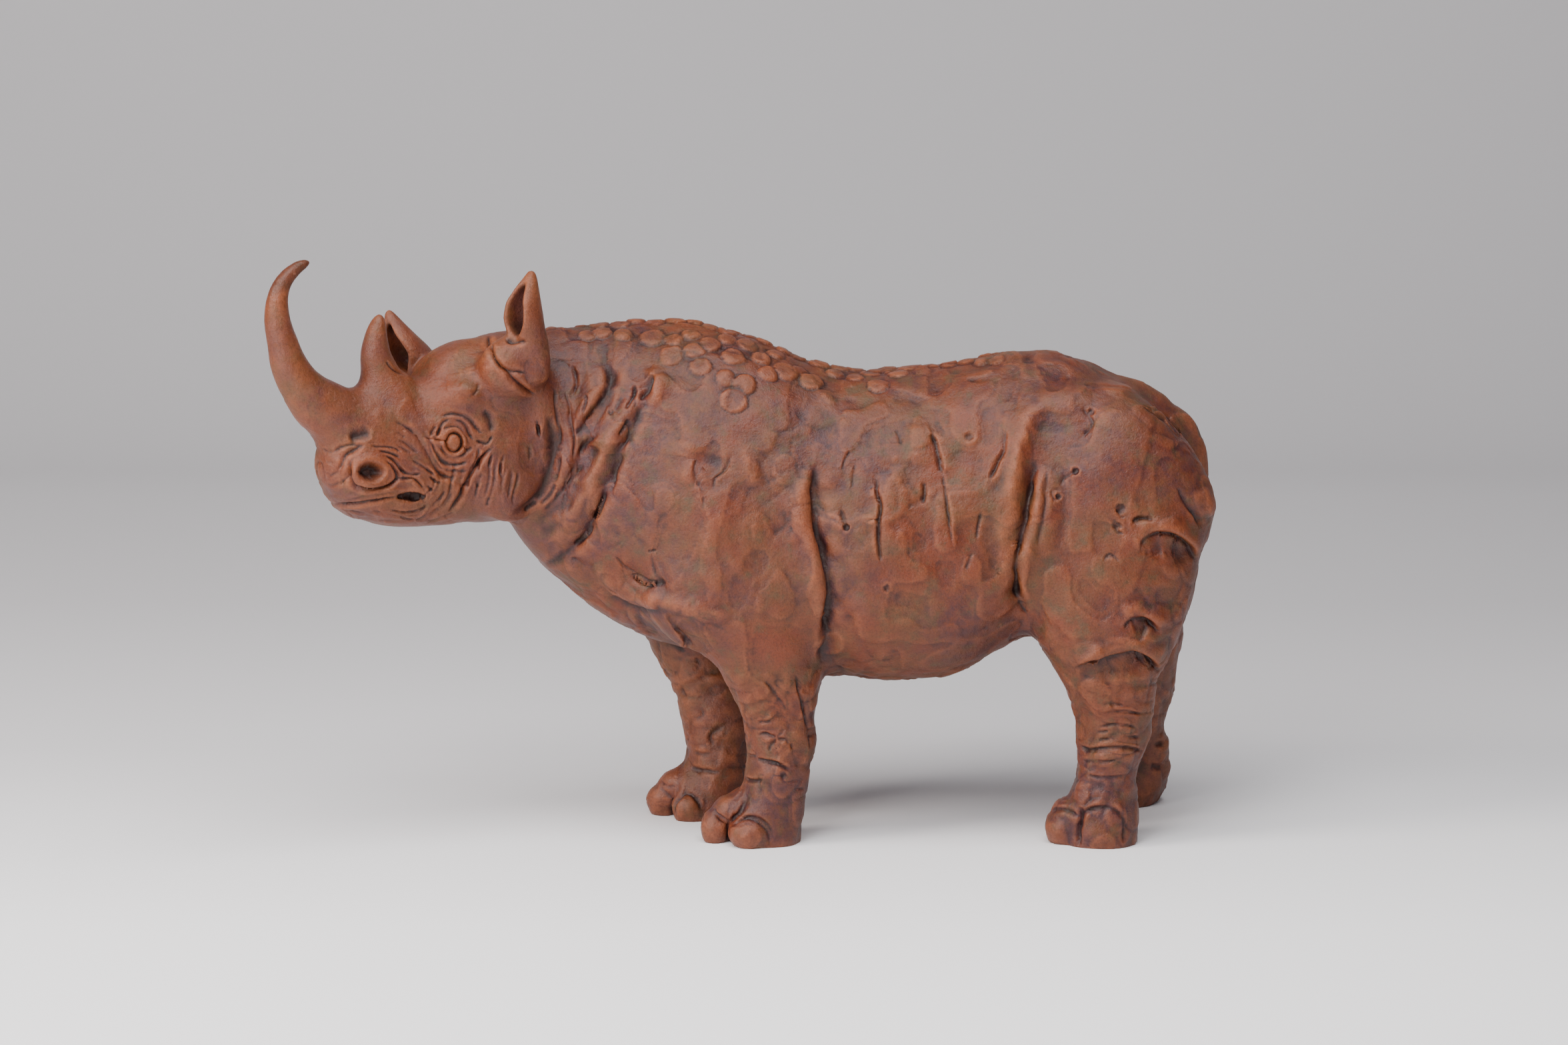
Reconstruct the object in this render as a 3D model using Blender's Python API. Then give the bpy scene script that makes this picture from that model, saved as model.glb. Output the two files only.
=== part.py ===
"""A terracotta rhinoceros, modelled by hand and fired in one piece.

The figure stands on four flat soles and faces -X, with its head turned towards -Y. Sizes and
places in the tables are millimetres, and MM turns them into Blender's metres. The masses are
joined into one skin, the hollows between them are filled out as thumbed clay would be, and
then the folds are cut and raised along the normals.
"""

import math

import bmesh
import bpy
import numpy as np
from mathutils import Matrix, Vector

MM = 0.001

VOXEL = 2.6
TRIANGLES = 9800
RING_POINTS = 40
# How square the rings are: 2 is round. Above and below the widest on the trunk and the head.
TRUNK_POWERS = (2.0, 2.3)
HEAD_POWERS = (2.2, 2.3)
LIMB_POWER = 2.3
SOLE = 1.5
SOLE_EDGE = 4.0
LEVEL = 0.3

# The head is worked this much finer than the body, within this distance of its middle.
HEAD_FINENESS = 1.5
HEAD_REACH = 100.0
HEAD_MIDDLE = (75, 0, 265)

TERRACOTTA = (0.42, 0.155, 0.075, 1.0)
ROUGHNESS = 0.55

# Areas, in square millimetres, that a hollow spreads over as it fills: at the toes, where limbs
# join the body, on the head, and at the ears and horns above EAR_ROOT.
TOE_BLEND = 4.5
BODY_BLEND = 84.0
HEAD_BLEND = 45.0
FINE_BLEND = 7.5
TOE_TOP = 30.0
EAR_ROOT = 318.0
# Rounds of evening, and the areas that hollows fill and high places sink over.
FIRST_EVENING = (4, 3.4, 2.0)
EVENING_ROUNDS = 90
SUNK = 2.0

# Folds are placed square to a line of sight from the figure's left, on a plane through AIM.
EYE_DISTANCE = 2333.0
EYE_PITCH = math.radians(8.5)
AIM = (29.2, 0.0, 195.0)

# The head is turned about the vertical and measured back from the tip of the muzzle.
HEAD_TURN = math.radians(33)
MUZZLE_TIP = (-253.0, -93.0)
HEAD_LENGTH = 158
# Folds of the head stop this far before its end, and its blending this far.
NECK_EDGE = 14
NECK_BLEND = 30
# The trunk's middle, ahead of which the forelegs' step is taken.
MIDRIFF = 120

# Rows along the trunk: x, y of the middle, top, underside, half width, height where it is widest.
TRUNK = (
    (-150, -22, 298, 224, 26, 262),
    (-142, -18, 311, 200, 35, 256),
    (-127, -12, 318, 177, 40, 248),
    (-108, -7, 320, 159, 44.5, 240),
    (-84, -3, 321, 138, 53.5, 228),
    (-58, 0, 322, 125, 64, 215),
    (-28, 0, 321, 116, 72, 203),
    (4, 0, 314, 110, 76, 193),
    (36, 0, 301, 105, 78, 183),
    (70, 0, 292, 100, 80, 174),
    (104, 0, 292, 98, 81, 170),
    (138, 0, 297, 103, 80, 174),
    (170, 0, 303, 121, 77, 186),
    (200, 0, 303, 138, 72, 198),
    (230, 0, 292, 150, 64, 208),
    (256, 0, 273, 160, 52, 212),
    (272, 0, 254, 174, 36, 214),
    (280, 0, 236, 190, 18, 214),
)

# Rows up a limb: height, front, back, y of the middle, half width, for the near side at -y.
FORELEG = (
    (-3, -4, 39, 43, 20),
    (22, -2, 41, 43, 20),
    (34, 5, 44, 43, 19),
    (48, 7, 46, 43.5, 19.5),
    (62, 6, 49, 44, 20.5),
    (85, 2, 49.5, 45, 22),
    (105, -7, 51, 46, 24.5),
    (124, -19, 53, 47, 27.5),
    (139, -30, 55, 47, 30),
    (157, -41, 54, 46, 32),
    (186, -54, 50, 44, 34),
    (215, -62, 46, 41, 35),
    (240, -64, 44, 37, 33),
    (262, -58, 39, 32, 29),
    (280, -45, 30, 26, 23),
    (294, -28, 14, 20, 13),
)
HINDLEG = (
    (-3, 206, 247, 46, 18.5),
    (4, 205, 251, 46, 20),
    (22, 206, 251, 46, 20),
    (35, 211, 250, 46, 19.5),
    (50, 214, 252, 46.5, 19.5),
    (66, 213, 257, 47, 20.5),
    (78, 212, 259, 48, 22),
    (92, 208, 259, 49, 24),
    (104, 203, 261, 49.5, 26.5),
    (118, 195, 267, 49, 29),
    (134, 183, 275, 48, 31.5),
    (158, 176, 283, 45.5, 34),
    (184, 174, 288, 42.5, 36),
    (205, 175, 295.5, 40.5, 37),
    (220, 177, 296, 39, 37),
    (238, 180, 289, 38, 35.5),
    (256, 186, 275, 36, 33),
    (272, 194, 260, 33, 28),
    (286, 206, 243, 28, 18),
)
# How the off-side limbs stand from the near ones: height, shift along x, shift outwards.
FORELEG_STEP = (
    (0, -36, -11), (25, -36, -11), (45, -40, -10), (67, -42, -8), (95, -46, -5), (121, -48, -2),
    (150, -30, 0), (185, -10, 0), (300, 0, 0),
)
HINDLEG_STEP = (
    (0, 19, 19), (3, 24, 20), (7, 28, 20), (12, 30.5, 20), (18, 32, 20), (25, 32.5, 20), (40, 31, 18),
    (52, 26, 15), (70, 25, 12), (90, 26, 8), (103, 26.5, 4), (115, 22, 2), (140, 9, 0), (170, 0, 0),
    (300, 0, 0),
)

# Toes of the near feet: x, distance from the middle plane, height, radii.
FORE_TOES = ((-13.5, 43, 8.5, 10.5, 11, 11), (7.5, 58, 8.5, 13.2, 11, 10.5), (4, 27, 8, 11, 10.5, 10.5))
FORE_INSTEP = ((-5, 43, 20, 10.5, 12, 8.5), (9, 43, 19, 17, 18, 14))
HIND_TOES = ((203.5, 46, 9.5, 10.5, 12, 11), (226, 57, 9.5, 15, 11, 10.5), (224, 34, 9.5, 13.5, 11, 10.5))
HIND_INSTEP = ((209, 46, 20, 11, 12, 8.5), (221, 46, 19, 18, 18, 13))

# Rows along the head: distance, top, underside, half width, height where it is widest.
HEAD = (
    (1, 251, 240, 7, 245),
    (4, 257, 232, 13, 243),
    (10, 269.5, 221, 18, 240),
    (18, 284, 213, 22, 238),
    (28, 291, 208.5, 24, 236),
    (42, 291.5, 204.5, 25, 236),
    (56, 289, 202.5, 27, 236),
    (64, 290, 202, 28, 237),
    (72, 300, 202, 29.5, 238),
    (82, 310, 202, 32, 240),
    (95, 315, 202, 35, 242),
    (110, 316, 201, 38, 244),
    (124, 318, 203, 38, 248),
    (140, 318, 214, 35, 256),
    (151, 310, 232, 27, 262),
    (158, 298, 246, 16, 268),
)

# Points up a horn: distance along the head, height, radius along the head, radius across it.
FRONT_HORN = (
    (24, 261.5, 23, 19),
    (11.5, 273.5, 19, 18),
    (1.5, 281, 17, 16.5),
    (-6, 288, 14.7, 14.5),
    (-13.5, 297.5, 12.6, 12.5),
    (-19, 308.5, 11, 11),
    (-22, 320, 9.4, 9.6),
    (-25, 331, 8.2, 8.5),
    (-25.5, 341, 7.2, 7.4),
    (-24, 350, 6.2, 6.4),
    (-19.5, 358, 5.4, 5.5),
    (-12, 364.2, 4.5, 4.5),
    (-5.5, 367, 3.4, 3.4),
    (-2, 368, 1.3, 1.3),
)
REAR_HORN = (
    (50, 276, 22, 20),
    (46.5, 287, 18.5, 16.5),
    (43.3, 294, 14.2, 12.8),
    (41.8, 301, 11.8, 10.6),
    (40, 308, 10.2, 9.2),
    (40, 316, 8.4, 8),
    (41, 324, 6.5, 6.5),
    (43, 331, 4.4, 4.4),
    (44, 334.5, 2, 2),
)

# Rows up an ear: height along it, half depth, half width, thickness of its wall, how much of the
# opening's angle is open there, and how far it bows out ahead.
EAR = (
    (-14, 11, 12, 12, 0.1, 1.5),
    (-4, 12, 13, 13, 0.1, 1.5),
    (5, 11.4, 12.5, 11, 0.1, 1.5),
    (12, 11.3, 12, 7, 0.15, 3),
    (18, 12.3, 12.5, 4.4, 0.5, 5),
    (24, 13.4, 12.5, 4, 0.9, 7.2),
    (34, 12, 10.8, 3.8, 0.9, 7.4),
    (43, 8, 7.4, 3.6, 0.5, 4.2),
    (50, 4.6, 4.2, 4, 0.2, 1.2),
    (55, 2.2, 2.2, 2, 0.1, 0),
)
# Foot and tip of each ear in head measures, the way that its opening looks, half the angle that
# stays open, and how much of the width above it has at the foot and at the tip.
NEAR_EAR = ((127, 38, 306), (126.5, 41, 360.5), math.radians(226), math.radians(54), (1, 1))
OFF_EAR = ((92, -35, 287), (69, -41, 332.5), math.radians(238), math.radians(58), (1.35, 0.95))

# Points along the tail: x, y, height, radius along the body, radius across it.
TAIL = (
    (226, 0, 280, 11, 13),
    (245, 0, 276.5, 11, 12),
    (262, 0, 269, 10.5, 12),
    (276, 0, 257.5, 10, 11),
    (284, 0, 243, 9, 10),
    (288, 0, 224, 8.5, 9),
    (288, 0, 200, 8, 8.5),
    (284, 0, 176, 7.5, 8),
    (279, 0, 154, 6, 8),
    (276, 0, 138, 3, 5),
)

# Swellings of the head: distance along it, distance to its left, height, radii along, across, up.
HEAD_SWELLINGS = (
    (91, 22, 283, 18, 12, 12),
    (91, -22, 283, 18, 12, 12),
    (25, 19, 240, 15, 9, 13),
    (25, -19, 240, 15, 9, 13),
    (116, 29, 228, 26, 11, 24),
    (116, -29, 228, 26, 11, 24),
    (116, 33, 300, 21, 15, 20),
    (136, 29, 268, 11, 14.5, 34),
)
# Swellings on both sides of the body: x, distance from the middle plane, height, radii.
BODY_SWELLINGS = (
    (204, 34, 272, 34, 24, 16),
    (-8, 52, 170, 52, 26, 50),
    (222, 48, 176, 50, 30, 44),
    (-92, 18, 178, 30, 26, 20),
)

# How much of each fold's depth the off side has.
OFF_SIDE_SHARE = 0.8
OFF_HEAD_SHARE = 0.9
# Deep folds, each as (width, depth, height of its two banks) and points across and up.
FOLDS = (
    ((3.2, 7.5, 1.2), (
        (51, 236), (48, 222), (47.5, 210), (49, 197), (52, 183), (55, 170), (57, 156), (58, 142),
        (57, 128), (55, 114), (53, 104),
    )),
    ((9, 3.2, 0), ((60, 226), (58, 205), (60, 185), (64, 168), (67, 152), (68, 138), (66, 122))),
    ((5, -2.2, 0), ((43, 226), (41, 206), (44, 186), (48, 166), (50, 148), (50, 130))),
    ((3.4, 8, 1.5), (
        (189, 236), (186, 222), (182, 203), (178, 186), (176, 168), (177, 152), (182, 138),
    )),
    ((7, -4, 0), ((182, 264), (176, 253), (173, 241), (173, 230), (171, 217), (168, 201), (166, 182))),
    ((6, -3, 0), ((197, 240), (196, 217), (193, 198), (188, 177), (186, 152))),
    ((8, -5, 0), (
        (-62, 276), (-70, 263), (-81, 246), (-89, 229), (-99, 213), (-108, 196), (-118, 180),
    )),
    ((4.5, 6, 0), (
        (-54, 282), (-66, 258), (-77, 236), (-84, 216), (-92, 198), (-99, 186), (-108, 177),
        (-121, 168),
    )),
    ((4.5, 4.5, 0), (
        (-79, 276), (-88, 261), (-97, 244), (-105, 225), (-113, 210), (-121, 200), (-132, 190),
    )),
    ((6, -3, 0), ((-96, 292), (-92, 272), (-99, 255), (-106, 236), (-114, 216))),
    ((4, 5, 0), ((-119, 263), (-116, 246), (-118, 230), (-123, 216), (-131, 207), (-144, 199))),
    ((2.6, 2.5, 0.8), ((-117, 301), (-113, 284), (-114, 267), (-113, 252), (-113, 233), (-118, 216))),
    ((2.6, 2.5, 0.8), ((-107, 295), (-105, 280), (-106, 263), (-103, 246), (-104, 233), (-109, 220))),
    ((3, 2.5, 0.5), ((-87, 299), (-81, 287), (-81, 273), (-88, 264), (-96, 256))),
    ((4, -2.5, 0), ((-56, 294), (-51, 281), (-53, 268))),
    ((3.5, 3.5, 0), (
        (-107, 176), (-99, 169), (-87, 157), (-76, 147), (-65, 141), (-52, 140), (-34, 137),
    )),
    ((6, -3.5, 0), ((-92, 168), (-80, 158), (-70, 152), (-54, 146), (-36, 142), (-20, 139), (-4, 134))),
    ((3, 2.5, 1), ((-65, 139), (-60, 131), (-52, 125), (-38, 120), (-22, 118))),
    ((3, 2.5, 1), ((-44, 138), (-38, 130), (-30, 122), (-24, 117), (-16, 106))),
    ((3.4, 3, 1), ((-66, 161), (-57, 157), (-46, 158))),
    ((4, 2, 1), ((-30, 241), (-27, 228), (-24, 214))),
    ((4, 2.2, 0), ((-16, 238), (-12, 226), (-12, 212))),
    ((2.6, 1.8, 0.6), ((99, 252), (104, 244), (103, 233), (101, 222))),
    ((2.6, 2.2, 0.8), ((123, 252), (127, 241), (129, 228), (131, 212), (134, 196), (135, 184))),
    ((2.6, 1.8, 0.6), ((87, 221), (88, 206), (91, 201), (88, 190), (90, 177))),
    ((2.6, 1.8, 0.6), ((155, 193), (152, 182), (149, 168))),
    ((8, 2.4, 0), ((224, 272), (222, 255), (217, 240), (211, 229))),
    ((3, 3, 1), ((279, 218), (284, 211), (290, 198), (294, 187))),
    ((3, 3, 0.5), ((251, 196), (257, 198), (263, 199))),
    ((4, 5, 0), ((256, 174), (259, 181), (265, 184), (275, 182), (283, 177), (290, 166))),
    ((4, -2.5, 0), ((252, 178), (257, 188), (265, 192), (276, 191), (287, 184), (295, 174))),
    ((3.4, 4, 0), ((246, 127), (252, 130), (259, 128), (268, 121))),
    ((4, -2, 0), ((244, 135), (252, 139), (262, 136), (272, 129))),
    ((3.4, 4.5, 0), ((202, 106), (216, 99), (230, 103), (244, 108), (253, 108), (261, 105), (267, 97))),
    ((5, -3, 0), ((198, 117), (214, 107), (229, 112), (244, 118), (254, 118), (264, 114), (270, 107))),
    ((2.5, 2, 0.6), ((213, 55), (230, 50), (247, 52), (264, 57))),
    ((3.4, 2.4, 0.6), ((17, 96), (24, 89), (29, 82), (31, 74))),
    ((2.8, 2.6, 0.8), ((36, 103), (39, 87), (42, 73), (45, 62), (45, 50))),
    ((3, 2, 0.5), ((5, 49), (13, 46), (23, 42), (32, 39))),
    ((3, 2, 0.4), ((34, 39), (30, 36), (26, 32))),
    ((2.2, 2.6, 0.5), ((-15.3, 11.9), (-11, 7.7), (-6.9, 4.7), (-5.7, -0.7), (-5.7, -8))),
    ((2.4, 2.6, 0.6), (
        (-4.4, 1.8), (-0.2, 6.8), (5.7, 8.7), (11.5, 7.3), (15.7, 3.5), (19.5, -2), (20, -8),
    )),
    ((2.6, 2.4, 0.6), ((6.5, 22.8), (2.3, 14.4), (-2.7, 8.5), (-6.9, 4.7))),
    ((2.2, 2.4, 0.5), (
        (196.8, 12.7), (203.9, 9.4), (210.6, 7.3), (214, 3.5), (215.3, -1.6), (215.3, -8),
    )),
    ((2.2, 2, 0.5), ((216.5, -2.4), (218.2, 5.2), (224.1, 8.1), (230.8, 8.5), (236.7, 6.4))),
    ((1.8, 2.4, 0.3), ((240.9, 5.6), (244.2, 3.1), (245.5, -0.7), (245.7, -6))),
    ((2.6, 2, 0.5), ((215.7, 6.8), (221.6, 12.7), (227.4, 16.1))),
)
# Folds that belong to the head: the eye, brow, nostril, lips, cheek and ear roots.
HEAD_FOLDS = (
    ((2.6, 2.4, 0.5), (
        (-217.8, 259.7), (-211.9, 257.2), (-206.9, 253), (-202.7, 248.8), (-199.7, 244.6),
        (-196.8, 239.5), (-193.8, 234.5), (-190.9, 229.4), (-187.5, 225.2), (-182.5, 224),
        (-178.3, 224.8),
    )),
    ((2.4, 3, 0.6), (
        (-153.9, 244.1), (-159, 239.5), (-162.3, 235.3), (-165.7, 230.3), (-169.1, 225.2),
        (-171.6, 221), (-174.1, 216.8), (-175.8, 211.4), (-179.1, 206.8), (-183.3, 201.7),
    )),
    ((1.8, 1.6, 0.5), (
        (-187.5, 262.6), (-183.3, 263.9), (-179.1, 263.9), (-174.1, 263), (-169.9, 260.5),
        (-166.5, 256.7), (-164, 253.4), (-161.5, 251.3),
    )),
    ((1.8, 1.8, 0.3), (
        (-165.7, 247.5), (-162.3, 245.8), (-159, 245.4), (-156.9, 247.1), (-155.2, 250.4),
    )),
    ((1.6, 2.6, 0.7), (
        (-184, 248.3), (-182.5, 250.9), (-179.6, 251.9), (-176.2, 250.4), (-174.9, 247.5),
        (-174.9, 243.7), (-177, 241), (-179.6, 240.1), (-182.9, 241.6), (-184.6, 245), (-184, 248.3),
    )),
    ((1.8, 2.2, 0.3), ((-200.1, 250), (-193.8, 248.3), (-187.5, 247.5), (-184.2, 246.7))),
    ((1.7, 2, 0.6), (
        (-193.8, 246.2), (-191.7, 240.8), (-189.2, 237), (-186.7, 234.1), (-182.5, 232.4),
        (-178.3, 232), (-174.1, 232.8), (-171.6, 234.5),
    )),
    ((2, 2.8, 0.6), (
        (-241.7, 237), (-244.7, 233.6), (-245.5, 227.8), (-244.7, 222.7), (-242.1, 218.5),
        (-237.9, 217.3), (-231.6, 216.4), (-225.3, 217.3), (-219.5, 219.4), (-215.7, 223.1),
        (-216.5, 227.8), (-219.5, 232), (-223.7, 234.5),
    )),
    ((2.2, 2.6, 0.5), (
        (-235.8, 244.6), (-240, 242.5), (-244.2, 240.4), (-248, 237.8), (-249.7, 234.5), (-251, 231.1),
        (-253.1, 229),
    )),
    ((1.8, 1.6, 0.4), ((-256, 239.5), (-252.6, 242), (-248.9, 243.7), (-243, 244.6), (-236.7, 244.1))),
    ((3.4, 2.4, 0.4), ((-246.3, 247.5), (-242.1, 249.6), (-237.9, 251.3), (-232.9, 253.4))),
    ((2, 2.2, 0.4), ((-245.9, 230.3), (-246.8, 225.7), (-248.9, 221.9), (-252.2, 218.9))),
    ((1.8, 1.5, 0.4), (
        (-232.9, 244.1), (-227.4, 243.3), (-222, 243.3), (-216.9, 242), (-212.7, 239.9),
    )),
    ((1.8, 2, 0.6), ((-215.7, 222.7), (-211.1, 223.6), (-206, 223.6), (-202.2, 221), (-199.3, 217.3))),
    ((2, 3.2, 0.9), (
        (-256, 208), (-251.4, 207.2), (-245.5, 207.2), (-238.8, 207.6), (-232.9, 208.9), (-227, 210.1),
        (-222, 211), (-216.1, 212.2),
    )),
    ((2.4, 3.5, 0), ((-216.1, 212.2), (-211.5, 212.6), (-206, 211.8), (-201, 210.1))),
    ((1.8, 2, 0.5), (
        (-221.1, 203.8), (-216.1, 202.6), (-210.2, 201.7), (-204.3, 202.1), (-199.3, 203.8),
        (-195.5, 205.5),
    )),
    ((1.8, 1.6, 0.4), ((-264.4, 234.9), (-262.7, 231.1), (-261.9, 226.9), (-261, 222.7))),
    ((3, 1.4, 0.3), ((-160.7, 267.2), (-157.7, 262.2), (-156, 257.2), (-156.5, 252.1))),
    ((2.4, 3.2, 0.6), (
        (-157.7, 313), (-156.9, 308), (-155.6, 302.5), (-153.1, 297.5), (-147.6, 292.9),
        (-141.3, 290.8), (-133.8, 289.9),
    )),
    ((2.8, 3.2, 0.8), (
        (-153.1, 297.5), (-147.6, 292.4), (-141.3, 285.7), (-135, 280.7), (-128.7, 276.5),
    )),
    ((2.2, 1.8, 0.3), ((-146.8, 311.3), (-143, 309.7), (-138, 309.2), (-132.9, 309.7))),
)
# Middle of the nostril across and up, its radii and depth, and the height of its rim.
NOSTRIL = ((-231, 227.5), (8.6, 6.6), 10)
RIM = 1.4

# Pressed clay pellets on the near side of the back: across, up, radius.
PELLETS = (
    (-95, 314, 5.0), (-86, 315, 5.2), (-72, 314, 5.6), (-53, 313, 6.8), (-43, 301, 7.0),
    (-40, 311, 5.4), (-27, 304, 5.8), (-30, 314, 5.0), (-18, 308, 6.0), (-24, 294, 6.2),
    (-8, 287, 5.4), (4, 283, 6.3), (-2, 272, 7.2), (-3, 300, 6.6), (-7, 311, 5.6),
    (6, 307, 6.2), (14, 298, 5.2), (19, 288, 5.2), (30, 290, 6.6), (24, 301, 5.2),
    (39, 291, 4.8), (46, 284, 6.8), (88, 281, 5.6), (62, 289, 5.2), (74, 287, 5.0),
    (84, 289, 5.6), (94, 292, 5.4), (101, 288, 5.4), (112, 295, 5.0), (118, 290, 5.0),
    (129, 296, 5.2), (154, 297, 4.6), (164, 298, 5.0),
)
PELLET_HEIGHT = 1.7
PELLET_EDGE = 2.2
PELLETS_ABOVE = 250
# The off side's pellets: how far they are moved from the mirror places, and their share of the size.
OFF_PELLETS = ((4, 0, 0), 0.92)
# A row along the crest: first and last x, the gap, how far to a side, radii, and the least height.
CREST_PELLETS = (-98, 150, 11.5)
CREST_SIDE = 5
CREST_RADII = (4.8, 6.2)
CREST_ABOVE = 270


def flow(rows, count):
    """Even rows on a smooth Catmull-Rom curve through the given rows."""
    rows = np.array(rows, float)
    ends = np.vstack([2 * rows[0] - rows[1], rows, 2 * rows[-1] - rows[-2]])
    at = np.linspace(0, len(rows) - 1, count)
    first = np.minimum(at.astype(int), len(rows) - 2)
    t = (at - first)[:, None]
    a, b, c, d = (ends[first + k] for k in range(4))
    bend, twist = 2 * a - 5 * b + 4 * c - d, 3 * b - a - 3 * c + d
    return 0.5 * (2 * b + (c - a) * t + bend * t**2 + twist * t**3)


def squircle(count, power):
    """Cosines and sines of a superellipse, which is a circle at power 2 and squarer above it."""
    angle = np.linspace(0, 2 * math.pi, count, endpoint=False)
    c, s = np.cos(angle), np.sin(angle)
    return np.sign(c) * np.abs(c) ** (2 / power), np.sign(s) * np.abs(s) ** (2 / power)


def smooth(value, low, high):
    """0 below low, 1 above high, and an even S between them."""
    t = np.clip((value - low) / (high - low), 0, 1)
    return t * t * (3 - 2 * t)


def head_to_body(points):
    """Head measures (distance back from the muzzle, distance to the left, height) as x, y, z."""
    c, s = math.cos(HEAD_TURN), math.sin(HEAD_TURN)
    along, side, height = np.moveaxis(np.asarray(points, float), -1, 0)
    x, y = MUZZLE_TIP
    return np.stack([x + along * c + side * s, y + along * s - side * c, height], -1)


def body_to_head(points):
    c, s = math.cos(HEAD_TURN), math.sin(HEAD_TURN)
    x, y = points[:, 0] - MUZZLE_TIP[0], points[:, 1] - MUZZLE_TIP[1]
    return np.stack([x * c + y * s, x * s - y * c, points[:, 2]], -1)


def enlarged(points):
    """The points with the head drawn out from its middle, so that an even mesh is finer there."""
    middle = head_to_body(HEAD_MIDDLE)
    offset = points - middle
    far = np.linalg.norm(offset, axis=1)[:, None]
    drawn = np.where(far < HEAD_REACH, far * HEAD_FINENESS, far + HEAD_REACH * (HEAD_FINENESS - 1))
    return middle + offset * drawn / np.maximum(far, 0.01)


def shrunk_back(points):
    middle = head_to_body(HEAD_MIDDLE)
    offset = points - middle
    drawn = np.linalg.norm(offset, axis=1)[:, None]
    inside = drawn < HEAD_REACH * HEAD_FINENESS
    far = np.where(inside, drawn / HEAD_FINENESS, drawn - HEAD_REACH * (HEAD_FINENESS - 1))
    return middle + offset * far / np.maximum(drawn, 0.01)


def skin(mesh, rings):
    """Joins rings of points, an array of rings x points x 3, into one closed body in the bmesh."""
    count = rings.shape[1]
    verts = [[mesh.verts.new(Vector(p) * MM) for p in ring] for ring in rings]
    for one, two in zip(verts, verts[1:]):
        for k in range(count):
            mesh.faces.new((one[k], one[(k + 1) % count], two[(k + 1) % count], two[k]))
    mesh.faces.new(verts[0][::-1])
    mesh.faces.new(verts[-1])


def add_barrel(mesh, rows, count, power_top, power_bottom, place):
    """Upright rings along a spine, from rows of along, side, top, underside, half width, widest."""
    c_top, s_top = squircle(RING_POINTS, power_top)
    c_bottom, s_bottom = squircle(RING_POINTS, power_bottom)
    upper = s_top >= 0
    c, s = np.where(upper, c_top, c_bottom), np.where(upper, s_top, s_bottom)
    rings = []
    for along, middle, top, bottom, width, wide in flow(rows, count):
        height = wide + np.where(upper, (top - wide) * s, (wide - bottom) * s)
        ring = np.stack([np.full(RING_POINTS, along), middle + width * c, height], -1)
        rings.append(place(ring))
    skin(mesh, np.array(rings))


def step_at(height, step):
    """The shift along x and the shift outwards at a height."""
    heights, along, out = np.transpose(step)
    return np.interp(height, heights, along), np.interp(height, heights, out)


def add_limb(mesh, rows, side, step):
    """Level rings up a leg. side is -1 for the near leg and 1 for the off one, moved by its step."""
    c, s = squircle(RING_POINTS, LIMB_POWER)
    rings = []
    for z, front, back, middle, width in flow(rows, 40):
        along, out = step_at(z, step)
        x = (front + back) / 2 + along + (back - front) / 2 * c
        rings.append(np.stack([x, side * (middle + out) + width * s, np.full(RING_POINTS, z)], -1))
    skin(mesh, np.array(rings))


def add_tube(mesh, rows, count, place):
    """Rings square to a path that lies in an upright plane: along, side, height and two radii."""
    path = flow(rows, count)
    way = np.gradient(path[:, (0, 2)], axis=0)
    way /= np.linalg.norm(way, axis=1)[:, None]
    c, s = squircle(RING_POINTS // 2, 2.0)
    rings = []
    for (a, b, z, thick, across), (da, dz) in zip(path, way):
        rings.append(place(np.stack([a - dz * thick * c, b + across * s, z + da * thick * c], -1)))
    skin(mesh, np.array(rings))


def add_ear(mesh, foot, tip, looks, gap, widths):
    """A leaf rolled into a cup: each ring is an arc of wall, open towards the way that it looks."""
    foot, tip = Vector(head_to_body(foot)), Vector(head_to_body(tip))
    up = (tip - foot).normalized()
    ahead = Vector((math.cos(looks), math.sin(looks), 0))
    ahead = (ahead - up * ahead.dot(up)).normalized()
    side = up.cross(ahead)
    length = EAR[-1][0]
    rings = []
    for height, deep, wide, wall, opened, bow in flow(EAR, 34):
        share = widths[0] + (widths[1] - widths[0]) * min(max(height / length, 0), 1)
        hollow = max(1 - wall / (min(deep, wide) * share), 0.02)
        arc = np.linspace(gap * opened, 2 * math.pi - gap * opened, RING_POINTS // 2)
        outer = np.stack([deep * share * np.cos(arc), wide * share * np.sin(arc)], -1)
        ring = np.vstack([outer, outer[::-1] * hollow])
        middle = foot + up * height * (tip - foot).length / length + ahead * bow
        rings.append([middle + ahead * float(a) + side * float(b) for a, b in ring])
    skin(mesh, np.array(rings, float))


def add_ball(mesh, middle, radii, turn=0.0):
    """An ellipsoid, its long axis turned about the vertical."""
    place = (
        Matrix.Translation(Vector(middle) * MM)
        @ Matrix.Rotation(turn, 4, "Z")
        @ Matrix.Diagonal((*(Vector(radii) * MM), 1))
    )
    bmesh.ops.create_icosphere(mesh, subdivisions=3, radius=1, matrix=place)


def add_foot(mesh, toes, instep, side, step):
    for x, y, z, *radii in toes + instep:
        along, out = step_at(z, step)
        add_ball(mesh, (x + along, side * (y + out), z), radii)


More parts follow.
